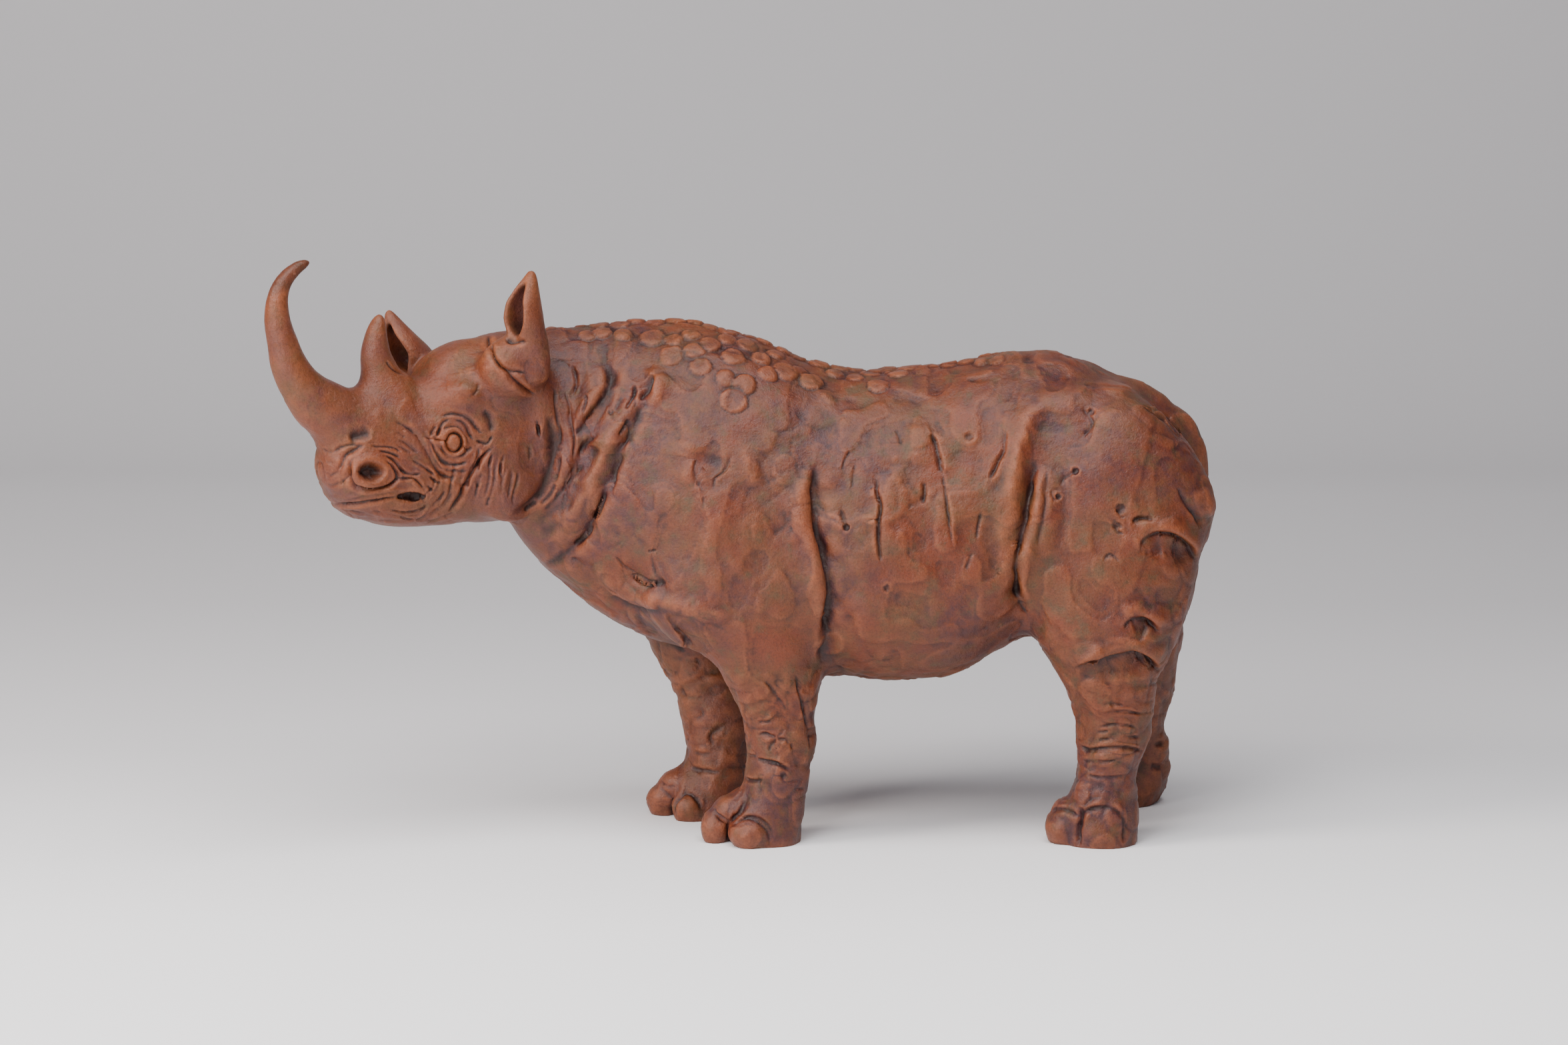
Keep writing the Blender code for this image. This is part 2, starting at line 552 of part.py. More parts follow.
def build_masses():
    mesh = bmesh.new()
    as_is = np.asarray
    add_barrel(mesh, TRUNK, 70, *TRUNK_POWERS, as_is)
    add_barrel(mesh, [(s, 0, *row) for s, *row in HEAD], 50, *HEAD_POWERS, head_to_body)
    add_tube(mesh, [(s, 0, *row) for s, *row in FRONT_HORN], 60, head_to_body)
    add_tube(mesh, [(s, 0, *row) for s, *row in REAR_HORN], 30, head_to_body)
    add_tube(mesh, TAIL, 30, as_is)
    still = ((0, 0, 0), (1, 0, 0))
    for side, fore_step, hind_step in ((-1, still, still), (1, FORELEG_STEP, HINDLEG_STEP)):
        add_limb(mesh, FORELEG, side, fore_step)
        add_limb(mesh, HINDLEG, side, hind_step)
        add_foot(mesh, FORE_TOES, FORE_INSTEP, side, fore_step)
        add_foot(mesh, HIND_TOES, HIND_INSTEP, side, hind_step)
        for x, y, z, *radii in BODY_SWELLINGS:
            add_ball(mesh, (x, side * y, z), radii)
    for along, left, z, *radii in HEAD_SWELLINGS:
        add_ball(mesh, head_to_body((along, left, z)), radii, HEAD_TURN)
    for ear in (NEAR_EAR, OFF_EAR):
        add_ear(mesh, *ear)
    bmesh.ops.recalc_face_normals(mesh, faces=mesh.faces)
    data = bpy.data.meshes.new("masses")
    mesh.to_mesh(data)
    mesh.free()
    return new_object("masses", data)


def new_object(name, data):
    obj = bpy.data.objects.new(name, data)
    bpy.context.collection.objects.link(obj)
    return obj


def applied(obj, name):
    """The object's mesh with its modifiers applied, as a new object, and the old one removed."""
    graph = bpy.context.evaluated_depsgraph_get()
    data = bpy.data.meshes.new_from_object(obj.evaluated_get(graph))
    bpy.data.objects.remove(obj)
    return new_object(name, data)


def moved(obj, change):
    """Passes every point of the object's mesh, in millimetres, through change."""
    points = np.empty(len(obj.data.vertices) * 3, np.float32)
    obj.data.vertices.foreach_get("co", points)
    points = change(points.reshape(-1, 3).astype(float) / MM) * MM
    obj.data.vertices.foreach_set("co", points.astype(np.float32).ravel())
    obj.data.update()


def one_skin(masses):
    moved(masses, enlarged)
    remesh = masses.modifiers.new("one skin", "REMESH")
    remesh.mode = "VOXEL"
    remesh.voxel_size = VOXEL * MM
    clay = applied(masses, "clay")
    moved(clay, shrunk_back)
    return clay


class Clay:
    """A mesh's points and normals in millimetres, pushed about as whole arrays."""

    def __init__(self, data):
        self.data = data
        self.edges = np.empty(len(data.edges) * 2, np.int32)
        data.edges.foreach_get("vertices", self.edges)
        self.edges = self.edges.reshape(-1, 2)
        self.count = len(data.vertices)
        self.ends = np.bincount(self.edges.ravel(), minlength=self.count)[:, None]
        self.points = self.read("co") / MM
        self.normals = self.read("normal")

    def read(self, what):
        values = np.empty(self.count * 3, np.float32)
        source = self.data.vertices if what == "co" else self.data.vertex_normals
        source.foreach_get("co" if what == "co" else "vector", values)
        return values.reshape(-1, 3).astype(float)

    def write(self):
        self.data.vertices.foreach_set("co", (self.points * MM).astype(np.float32).ravel())
        self.data.update()
        self.normals = self.read("normal")

    def push(self, amount):
        """Moves each point along its normal, outwards where amount is positive."""
        self.points += self.normals * amount[:, None]
        self.write()

    def neighbours_sum(self, values):
        """For each point, the sum of one value over its edges, given once for each end."""
        a, b = self.edges.T
        return np.bincount(a, values[1], self.count) + np.bincount(b, values[0], self.count)

    def to_neighbours(self):
        """How far each point's neighbours' middle lies from it."""
        a, b = self.edges.T
        total = [self.neighbours_sum((self.points[a, k], self.points[b, k])) for k in range(3)]
        return np.stack(total, -1) / self.ends - self.points

    def relax(self, rounds, filled, sunk):
        """Evens the surface. Hollows spread over the area filled, and what stands out over sunk."""
        a, b = self.edges.T
        squares = ((self.points[a] - self.points[b]) ** 2).sum(1)
        mesh_area = self.neighbours_sum((squares, squares)) / self.ends[:, 0] / 4
        fill, sink = (np.minimum(area / mesh_area / rounds, 0.7) for area in (filled, sunk))
        for turn in range(rounds):
            move = self.to_neighbours()
            hollow = (move * self.normals).sum(1) > 0
            self.points += move * np.where(hollow, fill, sink)[:, None]
            if turn % 6 == 5:
                self.write()
        self.write()


def folded_over(points):
    """Each point as it would lie on the near side: the off side is mirrored and its step taken out.

    Returns the places, which of them are on the head and which are on the near side.
    """
    head = body_to_head(points)
    in_head = head[:, 0] < HEAD_LENGTH - NECK_EDGE
    near = np.where(in_head, head[:, 1] > 0, points[:, 1] < 0)
    mirrored = points * (1, -1, 1)
    steps = [np.stack(step_at(points[:, 2], step), -1) for step in (FORELEG_STEP, HINDLEG_STEP)]
    mirrored[:, :2] -= np.where(points[:, :1] < MIDRIFF, *steps) * (1, -1)
    mirrored = np.where(in_head[:, None], head_to_body(head * (1, -1, 1)), mirrored)
    return np.where(near[:, None], points, mirrored), in_head, near


def line_of_sight():
    """Unit vectors across, up and away as seen from the figure's left."""
    c, s = math.cos(EYE_PITCH), math.sin(EYE_PITCH)
    return np.array((1, 0, 0)), np.array((0, s, c)), np.array((0, c, -s))


def sighted(points):
    """Where points appear on the plane through AIM: across, up and the distance past it."""
    across, up, away = line_of_sight()
    offset = points - AIM
    far = offset @ away
    scale = EYE_DISTANCE / (EYE_DISTANCE + far)
    return np.stack([AIM[0] + offset @ across * scale, AIM[2] + offset @ up * scale, far], -1)


def turned_normals(clay, in_head, near):
    """The normals as folded_over lays them."""
    c, s = math.cos(HEAD_TURN), math.sin(HEAD_TURN)
    n = clay.normals
    along, side = n[:, 0] * c + n[:, 1] * s, n[:, 0] * s - n[:, 1] * c
    in_head_mirror = np.stack([along * c - side * s, along * s + side * c, n[:, 2]], -1)
    mirror = np.where(in_head[:, None], in_head_mirror, n * (1, -1, 1))
    return np.where(near[:, None], n, mirror)


def fold_push(seen, fold):
    """The push of one fold: a rounded cut along its line, with a low bank on both sides."""
    (width, depth, bank), line = fold
    line = flow(line, 8 * len(line))
    push = np.zeros(len(seen))
    reach = 4 * width
    low, high = line.min(0) - reach, line.max(0) + reach
    close = np.flatnonzero(((seen[:, :2] > low) & (seen[:, :2] < high)).all(1))
    gap = np.linalg.norm(seen[close, None, :2] - line[None], axis=2)
    nearest = gap.argmin(1)
    off = gap[np.arange(len(close)), nearest] / width
    along = nearest / (len(line) - 1)
    closed = np.allclose(line[0], line[-1])
    ends = 1 if closed else np.sqrt(smooth(along, 0, 0.18) * smooth(1 - along, 0, 0.18))
    push[close] = ends * (bank * np.exp(-((off - 1.9) ** 2)) - depth * np.exp(-(off**2)))
    return push


def near_view(clay, off_side):
    """Each point as it would appear on the near side, and how much a push there counts."""
    places, in_head, near = folded_over(clay.points)
    away = line_of_sight()[2]
    facing = smooth(-(turned_normals(clay, in_head, near) @ away), 0.05, 0.45)
    return sighted(places), facing * np.where(near, 1, off_side), in_head


def carve(clay, folds, off_side, in_head_only=False):
    """Cuts or raises each fold on the near side, and fainter, by the share off_side, on the other."""
    seen, counts, in_head = near_view(clay, off_side)
    if in_head_only:
        counts = counts * in_head
    clay.push(sum(fold_push(seen, fold) for fold in folds) * counts)


def dent(clay, middle, radii, depth, off_side):
    """A round hole in the head with a soft raised rim."""
    seen, counts, in_head = near_view(clay, off_side)
    off = np.linalg.norm((seen[:, :2] - middle) / radii, axis=1)
    rim = RIM * np.exp(-(((off - 1.5) / 0.35) ** 2))
    clay.push((rim - depth * smooth(1.15 - off, 0, 0.5)) * counts * in_head)


def pellet_middles(clay):
    """Places of the pellets: those seen on the near side, their mirror, and a row along the crest."""
    seen = sighted(clay.points)
    _, _, away = line_of_sight()
    front = np.flatnonzero((clay.normals @ away < -0.02) & (clay.points[:, 2] > PELLETS_ABOVE))
    middles = []
    for across, up, radius in PELLETS:
        gap = np.linalg.norm(seen[front, :2] - (across, up), axis=1)
        middle = clay.points[front[gap.argmin()]]
        middles.append((middle, radius))
        middles.append((middle * (1, -1, 1) + OFF_PELLETS[0], radius * OFF_PELLETS[1]))
    rng = np.random.default_rng(7)
    top = np.flatnonzero(clay.points[:, 2] > CREST_ABOVE)
    first, last, gap = CREST_PELLETS
    for x in np.arange(first, last, gap):
        side = rng.uniform(-CREST_SIDE, CREST_SIDE)
        off = np.linalg.norm(clay.points[top, :2] - (x + rng.uniform(-2, 2), side), axis=1)
        middles.append((clay.points[top[off.argmin()]], rng.uniform(*CREST_RADII)))
    return middles


def press_pellets(clay):
    """Flattened pellets of clay: each lifts a round patch of the surface with a steep edge."""
    normals, height = clay.normals.copy(), np.zeros(clay.count)
    for middle, radius in pellet_middles(clay):
        off = np.linalg.norm(clay.points - middle, axis=1)
        patch = PELLET_HEIGHT * smooth(radius + 1 - off, 0, PELLET_EDGE)
        height = np.maximum(height, patch)
    clay.points += normals * height[:, None]
    clay.write()


def blending(points):
    """The area that hollows spread over: most where limbs join, little at toes, ears and horns."""
    head = body_to_head(points)
    area = np.where(points[:, 2] < TOE_TOP, TOE_BLEND, BODY_BLEND)
    on_head = head[:, 0] < HEAD_LENGTH - NECK_BLEND
    area = np.where(on_head, HEAD_BLEND, area)
    return np.where(on_head & (points[:, 2] > EAR_ROOT), FINE_BLEND, area)


def flat_soles(clay):
    """Presses the feet flat on the ground."""
    height = clay.points[:, 2]
    squeezed = np.maximum(0, (height - SOLE) * (SOLE + SOLE_EDGE) / SOLE_EDGE)
    clay.points[:, 2] = np.where(height < SOLE + SOLE_EDGE, squeezed, height)
    clay.write()


def few_faces(obj):
    """The object with its faces joined where it is flat, fewest on the body."""
    moved(obj, enlarged)
    thin = obj.modifiers.new("few faces", "DECIMATE")
    thin.use_collapse_triangulate = True
    thin.ratio = TRIANGLES / (2 * len(obj.data.polygons))
    rhinoceros = applied(obj, "terracotta_rhinoceros")
    moved(rhinoceros, shrunk_back)
    return rhinoceros


def centred(points):
    """The points moved in plan so that their bounding box is centred, with the soles level."""
    low, high = points.min(0), points.max(0)
    points = points - ((low[0] + high[0]) / 2, (low[1] + high[1]) / 2, 0)
    points[:, 2] = np.where(points[:, 2] < LEVEL, 0, points[:, 2])
    return points


def terracotta():
    material = bpy.data.materials.new("fired terracotta")
    material.use_nodes = True
    shader = material.node_tree.nodes["Principled BSDF"]
    shader.inputs["Base Color"].default_value = TERRACOTTA
    shader.inputs["Roughness"].default_value = ROUGHNESS
    return material


def main():
    for obj in list(bpy.data.objects):
        bpy.data.objects.remove(obj)
    clay_object = one_skin(build_masses())
    clay = Clay(clay_object.data)
    clay.relax(*FIRST_EVENING)
    clay.relax(EVENING_ROUNDS, blending(clay.points), SUNK)
    carve(clay, FOLDS, OFF_SIDE_SHARE)
    carve(clay, HEAD_FOLDS, OFF_HEAD_SHARE, in_head_only=True)
    dent(clay, *NOSTRIL, OFF_HEAD_SHARE)
    press_pellets(clay)
    flat_soles(clay)
    rhinoceros = few_faces(clay_object)
    moved(rhinoceros, centred)
    rhinoceros.data.shade_smooth()
    rhinoceros.data.materials.append(terracotta())
    return rhinoceros


if __name__ == "__main__":
    main()
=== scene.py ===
import math

import bmesh
import bpy
import numpy as np
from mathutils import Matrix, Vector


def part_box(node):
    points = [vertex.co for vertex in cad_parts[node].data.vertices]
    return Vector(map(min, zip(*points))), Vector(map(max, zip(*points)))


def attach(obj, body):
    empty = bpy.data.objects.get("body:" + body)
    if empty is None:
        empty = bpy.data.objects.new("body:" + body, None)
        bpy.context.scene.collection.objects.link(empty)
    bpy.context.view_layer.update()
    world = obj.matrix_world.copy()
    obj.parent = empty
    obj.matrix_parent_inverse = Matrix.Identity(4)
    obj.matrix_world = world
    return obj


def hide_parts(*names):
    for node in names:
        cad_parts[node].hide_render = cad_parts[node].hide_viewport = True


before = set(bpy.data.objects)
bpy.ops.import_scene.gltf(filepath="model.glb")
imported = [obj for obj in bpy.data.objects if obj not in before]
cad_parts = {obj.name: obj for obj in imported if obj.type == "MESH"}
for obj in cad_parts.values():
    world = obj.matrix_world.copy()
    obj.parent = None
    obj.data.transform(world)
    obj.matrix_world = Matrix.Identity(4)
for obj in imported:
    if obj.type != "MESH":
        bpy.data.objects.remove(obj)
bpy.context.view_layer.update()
node = "terracotta_rhinoceros"
mm = 0.001

# A terracotta rhinoceros, modelled by hand. It faces -X and its head is turned to -Y.
# Every size and place in the dictionaries is in millimetres.

view = {
    "distance": 2333.0,
    "pitch": math.radians(8.5),
    "aim": np.array((29.2, 0.0, 195.0)),
    "width": 987.8,  # how much of the plane through aim the picture's width takes in
}

working = {
    "mesh": 1.75,  # size of the working mesh on the body
    "quickMesh": 3.2,
    "headFineness": 1.65,  # how much finer the head is worked
    "headReach": 104.0,
    "headMiddle": (72, 0, 262),
    "triangles": 196000,
    "crease": 3.2,
    "narrowed": 0.62,
    "finest": 0.95,
    "waver": 0.3,  # how far a cut's line wavers, in widths
    "ringPoints": 40,
    "sole": 1.5,
    "soleEdge": 4.0,
}

headPlace = {"turn": math.radians(33), "tip": (-253.0, -93.0), "length": 158}


# curves and rings


def flow(rows, count):
    # Catmull-Rom: a cubic through rows b and c whose slopes are (c - a) / 2 and (d - b) / 2
    rows = np.array(rows, float)
    ends = np.vstack([2 * rows[0] - rows[1], rows, 2 * rows[-1] - rows[-2]])
    at = np.linspace(0, len(rows) - 1, count)
    first = np.minimum(at.astype(int), len(rows) - 2)
    t = (at - first)[:, None]
    a, b, c, d = (ends[first + k] for k in range(4))
    return 0.5 * (2 * b + (c - a) * t + (2 * a - 5 * b + 4 * c - d) * t**2 + (3 * b - a - 3 * c + d) * t**3)


def superellipse(count, power):
    # cosine and sine, each raised to 2 / power with its sign kept: round at 2, squarer above
    angle = np.linspace(0, 2 * math.pi, count, endpoint=False)
    c, s = np.cos(angle), np.sin(angle)
    return np.sign(c) * np.abs(c) ** (2 / power), np.sign(s) * np.abs(s) ** (2 / power)


def ease(value, low, high):
    # 3t^2 - 2t^3 between low and high, 0 below and 1 above
    t = np.clip((value - low) / (high - low), 0, 1)
    return t * t * (3 - 2 * t)


def fromHead(points):
    # head measures (back from the muzzle, to the left, height), turned about the vertical
    c, s = math.cos(headPlace["turn"]), math.sin(headPlace["turn"])
    x, y = headPlace["tip"]
    along, left, height = np.moveaxis(np.asarray(points, float), -1, 0)
    return np.stack([x + along * c + left * s, y + along * s - left * c, height], -1)


def toHead(points):
    # the inverse of fromHead
    c, s = math.cos(headPlace["turn"]), math.sin(headPlace["turn"])
    x, y = points[:, 0] - headPlace["tip"][0], points[:, 1] - headPlace["tip"][1]
    return np.stack([x * c + y * s, x * s - y * c, points[:, 2]], -1)


def enlarge(points):
    # distance from the head's middle times the fineness inside the reach, and the same step beyond
    k, reach = working["headFineness"], working["headReach"]
    middle = fromHead(working["headMiddle"])
    far = np.linalg.norm(points - middle, axis=1)[:, None]
    return middle + (points - middle) * np.where(far < reach, k, 1 + reach * (k - 1) / np.maximum(far, 1))


def shrinkBack(points):
    # the inverse of enlarge
    k, reach = working["headFineness"], working["headReach"]
    middle = fromHead(working["headMiddle"])
    drawn = np.linalg.norm(points - middle, axis=1)[:, None]
    return middle + (points - middle) * np.where(drawn < reach * k, 1 / k, 1 - reach * (k - 1) / np.maximum(drawn, 1))


def loft(rings):
    # rings x points x 3: quads between neighbouring rings, and a cap on each end
    n, m = rings.shape[:2]
    spot = np.arange(n * m).reshape(n, m)
    turned = np.roll(spot, -1, axis=1)
    quads = np.stack([spot[:-1], turned[:-1], turned[1:], spot[1:]], -1).reshape(-1, 4)
    return rings.reshape(-1, 3), quads.tolist() + [spot[0][::-1].tolist(), spot[-1].tolist()]


def barrel(rows, count, powerTop, powerBottom, place):
    # upright rings: half width times cosine across, and the height above or below the widest times sine
    along, middle, top, bottom, width, wide = (v[:, None] for v in flow(rows, count).T)
    cTop, sTop = superellipse(working["ringPoints"], powerTop)
    cBottom, sBottom = superellipse(working["ringPoints"], powerBottom)
    c, s = np.where(sTop >= 0, cTop, cBottom), np.where(sTop >= 0, sTop, sBottom)
    height = wide + np.where(s >= 0, (top - wide) * s, (wide - bottom) * s)
    return loft(place(np.stack([along + 0 * c, middle + width * c, height], -1)))


def stepAt(height, step):
    # the shift along x and the shift outwards, read between the rows
    heights, along, out = np.transpose(step)
    return np.interp(height, heights, along), np.interp(height, heights, out)


def limb(rows, side, step):
    # level rings up a leg, between its front and its back, moved by the step at that height
    z, front, back, middle, width = (v[:, None] for v in flow(rows, 40).T)
    c, s = superellipse(working["ringPoints"], 2.3)
    along, out = stepAt(z, step)
    x = (front + back) / 2 + along + (back - front) / 2 * c
    return loft(np.stack([x, side * (middle + out) + width * s, z + 0 * c], -1))


def tube(rows, count, place):
    # rings square to a path in an upright plane: one radius along the path's normal, one across it
    path = flow(rows, count)
    way = np.gradient(path[:, (0, 2)], axis=0)
    da, dz = (way / np.linalg.norm(way, axis=1)[:, None]).T[:, :, None]
    a, b, z, thick, across = (v[:, None] for v in path.T)
    c, s = superellipse(working["ringPoints"] // 2, 2.0)
    return loft(place(np.stack([a - dz * thick * c, b + across * s, z + da * thick * c], -1)))


def rolledEar(rows, foot, tip, looks, gap, widths):
    # each ring is an arc of wall about the axis, outside one way round and inside back again
    foot, tip = fromHead(foot), fromHead(tip)
    up = (tip - foot) / np.linalg.norm(tip - foot)
    ahead = np.array((math.cos(looks), math.sin(looks), 0))
    ahead -= up * (ahead @ up)
    ahead /= np.linalg.norm(ahead)
    side = np.cross(up, ahead)
    height, deep, wide, wall, opened, bow = (v[:, None] for v in flow(rows, 34).T)
    arc = gap * opened + np.linspace(0, 1, working["ringPoints"] // 2) * (2 * math.pi - 2 * gap * opened)
    share = widths[0] + (widths[1] - widths[0]) * np.clip(height / rows[-1][0], 0, 1)
    hollow = np.maximum(1 - wall / (np.minimum(deep, wide) * share), 0.02)
    a, b = deep * share * np.cos(arc), wide * share * np.sin(arc)
    a, b = np.hstack([a, a[:, ::-1] * hollow]), np.hstack([b, b[:, ::-1] * hollow])
    axis = foot + up * (height * np.linalg.norm(tip - foot) / rows[-1][0]) + ahead * bow
    return loft(axis[:, None] + a[..., None] * ahead + b[..., None] * side)


def ball(middle, radii, turn=0.0):
    # an ellipsoid from latitude and longitude, turned about the vertical
    tall, round_ = np.linspace(0.06, math.pi - 0.06, 15)[:, None], np.linspace(0, 2 * math.pi, 24, endpoint=False)
    x, y = radii[0] * np.sin(tall) * np.cos(round_), radii[1] * np.sin(tall) * np.sin(round_)
    z = -radii[2] * np.cos(tall) + 0 * round_
    c, s = math.cos(turn), math.sin(turn)
    return loft(np.asarray(middle) + np.stack([x * c - y * s, x * s + y * c, z], -1))


# the masses of the figure

body = {
    # along the trunk: x, y of the middle, top, underside, half width, height where it is widest
    "trunk": (
        (-150, -22, 298, 224, 26, 262), (-142, -18, 311, 200, 35, 256), (-127, -12, 318, 177, 40, 248),
        (-108, -7, 320, 159, 44.5, 240), (-84, -3, 321, 138, 53.5, 228), (-58, 0, 322, 125, 64, 215),
        (-28, 0, 321, 116, 72, 203), (4, 0, 314, 110, 76, 193), (36, 0, 301, 105, 78, 183),
        (70, 0, 292, 100, 80, 174), (104, 0, 292, 98, 81, 170), (138, 0, 297, 103, 80, 174),
        (170, 0, 303, 121, 77, 186), (200, 0, 303, 138, 72, 198), (230, 0, 292, 150, 64, 208),
        (256, 0, 273, 160, 52, 212), (272, 0, 254, 174, 36, 214), (280, 0, 236, 190, 18, 214),
    ),
    # up a leg: height, front, back, distance from the middle plane, half width
    "foreleg": (
        (-3, -4, 39, 43, 20), (22, -2, 41, 43, 20), (34, 5, 44, 43, 19), (48, 7, 46, 43.5, 19.5),
        (62, 6, 49, 44, 20.5), (85, 2, 49.5, 45, 22), (105, -7, 51, 46, 24.5),
        (124, -19, 53, 47, 27.5), (139, -30, 55, 47, 30), (157, -41, 54, 46, 32),
        (186, -54, 50, 44, 34), (215, -62, 46, 41, 35), (240, -64, 44, 37, 33), (262, -58, 39, 32, 29),
        (280, -45, 30, 26, 23), (294, -28, 14, 20, 13),
    ),
    "hindleg": (
        (-3, 206, 247, 46, 18.5), (4, 205, 251, 46, 20), (22, 206, 251, 46, 20),
        (35, 211, 250, 46, 19.5), (50, 214, 252, 46.5, 19.5), (66, 213, 257, 47, 20.5),
        (78, 212, 259, 48, 22), (92, 208, 259, 49, 24), (104, 203, 261, 49.5, 26.5),
        (118, 195, 267, 49, 29), (134, 183, 275, 48, 31.5), (158, 176, 283, 45.5, 34),
        (184, 174, 288, 42.5, 36), (205, 175, 295.5, 40.5, 37), (220, 177, 296, 39, 37),
        (238, 180, 289, 38, 35.5), (256, 186, 275, 36, 33), (272, 194, 260, 33, 28),
        (286, 206, 243, 28, 18),
    ),
    # how the off-side legs stand from the near ones: height, shift along x, shift outwards
    "forelegStep": ((0, -36, -11), (25, -36, -11), (45, -40, -10), (67, -42, -8), (95, -46, -5), (121, -48, -2), (150, -30, 0), (185, -10, 0), (300, 0, 0)),
    "hindlegStep": ((0, 19, 19), (3, 24, 20), (7, 28, 20), (12, 30.5, 20), (18, 32, 20), (25, 32.5, 20), (40, 31, 18), (52, 26, 15), (70, 25, 12), (90, 26, 8), (103, 26.5, 4), (115, 22, 2), (140, 9, 0), (170, 0, 0), (300, 0, 0)),
    # toes and insteps: x, distance from the middle plane, height, radii
    "foreToes": ((-13.5, 43, 8.5, 10.5, 11, 11), (7.5, 58, 8.5, 13.2, 11, 10.5), (4, 27, 8, 11, 10.5, 10.5), (-5, 43, 20, 10.5, 12, 8.5), (9, 43, 19, 17, 18, 14)),
    "hindToes": ((203.5, 46, 9.5, 10.5, 12, 11), (226, 57, 9.5, 15, 11, 10.5), (224, 34, 9.5, 13.5, 11, 10.5), (209, 46, 20, 11, 12, 8.5), (221, 46, 19, 18, 18, 13)),
    # x, y, height, radius along the body, radius across it
    "tail": (
        (226, 0, 280, 11, 13), (245, 0, 276.5, 11, 12), (262, 0, 269, 10.5, 12),
        (276, 0, 257.5, 10, 11), (284, 0, 243, 9, 10), (288, 0, 224, 8.5, 9), (288, 0, 200, 8, 8.5),
        (284, 0, 176, 7.5, 8), (279, 0, 154, 6, 8), (276, 0, 138, 3, 5),
    ),
    # x, distance from the middle plane, height, radii
    "swellings": (
        (204, 34, 272, 34, 24, 16), (-8, 52, 170, 52, 26, 50), (222, 48, 176, 50, 30, 44),
        (-92, 18, 178, 30, 26, 20),
    ),
}

head = {
    # back from the muzzle: distance, top, underside, half width, height where it is widest
    "skull": (
        (1, 251, 240, 7, 245), (4, 257, 232, 13, 243), (10, 269.5, 221, 18, 240),
        (18, 284, 213, 22, 238), (28, 291, 208.5, 24, 236), (42, 291.5, 204.5, 25, 236),
        (56, 289, 202.5, 27, 236), (64, 290, 202, 28, 237), (72, 300, 202, 29.5, 238),
        (82, 310, 202, 32, 240), (95, 315, 202, 35, 242), (110, 316, 201, 38, 244),
        (124, 318, 203, 38, 248), (140, 318, 214, 35, 256), (151, 310, 232, 27, 262),
        (158, 298, 246, 16, 268),
    ),
    # up a horn: distance back, height, radius along the head, radius across it
    "frontHorn": (
        (24, 261.5, 23, 19), (11.5, 273.5, 19, 18), (1.5, 281, 17, 16.5), (-6, 288, 14.7, 14.5),
        (-13.5, 297.5, 12.6, 12.5), (-19, 308.5, 11, 11), (-22, 320, 9.4, 9.6), (-25, 331, 8.2, 8.5),
        (-25.5, 341, 7.2, 7.4), (-24, 350, 6.2, 6.4), (-19.5, 358, 5.4, 5.5), (-12, 364.2, 4.5, 4.5),
        (-5.5, 367, 3.4, 3.4), (-2, 368, 1.3, 1.3),
    ),
    "rearHorn": (
        (50, 276, 22, 20), (46.5, 287, 18.5, 16.5), (43.3, 294, 14.2, 12.8), (41.8, 301, 11.8, 10.6),
        (40, 308, 10.2, 9.2), (40, 316, 8.4, 8), (41, 324, 6.5, 6.5), (43, 331, 4.4, 4.4),
        (44, 334.5, 2, 2),
    ),
    # up an ear: height, half depth, half width, thickness of the wall, how far the opening is open,
    # how far it bows out ahead
    "ear": (
        (-14, 11, 12, 12, 0.1, 1.5), (-4, 12, 13, 13, 0.1, 1.5), (5, 11.4, 12.5, 11, 0.1, 1.5),
        (12, 11.3, 12, 7, 0.15, 3), (18, 12.3, 12.5, 4.4, 0.5, 5), (24, 13.4, 12.5, 4, 0.9, 7.2),
        (34, 12, 10.8, 3.8, 0.9, 7.4), (43, 8, 7.4, 3.6, 0.5, 4.2), (50, 4.6, 4.2, 4, 0.2, 1.2),
        (55, 2.2, 2.2, 2, 0.1, 0),
    ),
    # foot, tip, the way that it looks, half the angle that stays open, share of the width at foot and tip
    "nearEar": ((127, 38, 306), (126.5, 41, 360.5), math.radians(226), math.radians(54), (1, 1)),
    "offEar": ((92, -35, 287), (69, -41, 332.5), math.radians(238), math.radians(58), (1.35, 0.95)),
    # distance back, distance to the left, height, radii
    "swellings": (
        (91, 22, 283, 18, 12, 12), (91, -22, 283, 18, 12, 12), (25, 19, 240, 15, 9, 13),
        (25, -19, 240, 15, 9, 13), (116, 29, 228, 26, 11, 24), (116, -29, 228, 26, 11, 24),
        (116, 33, 300, 21, 15, 20), (136, 29, 268, 11, 14.5, 34),
    ),
}


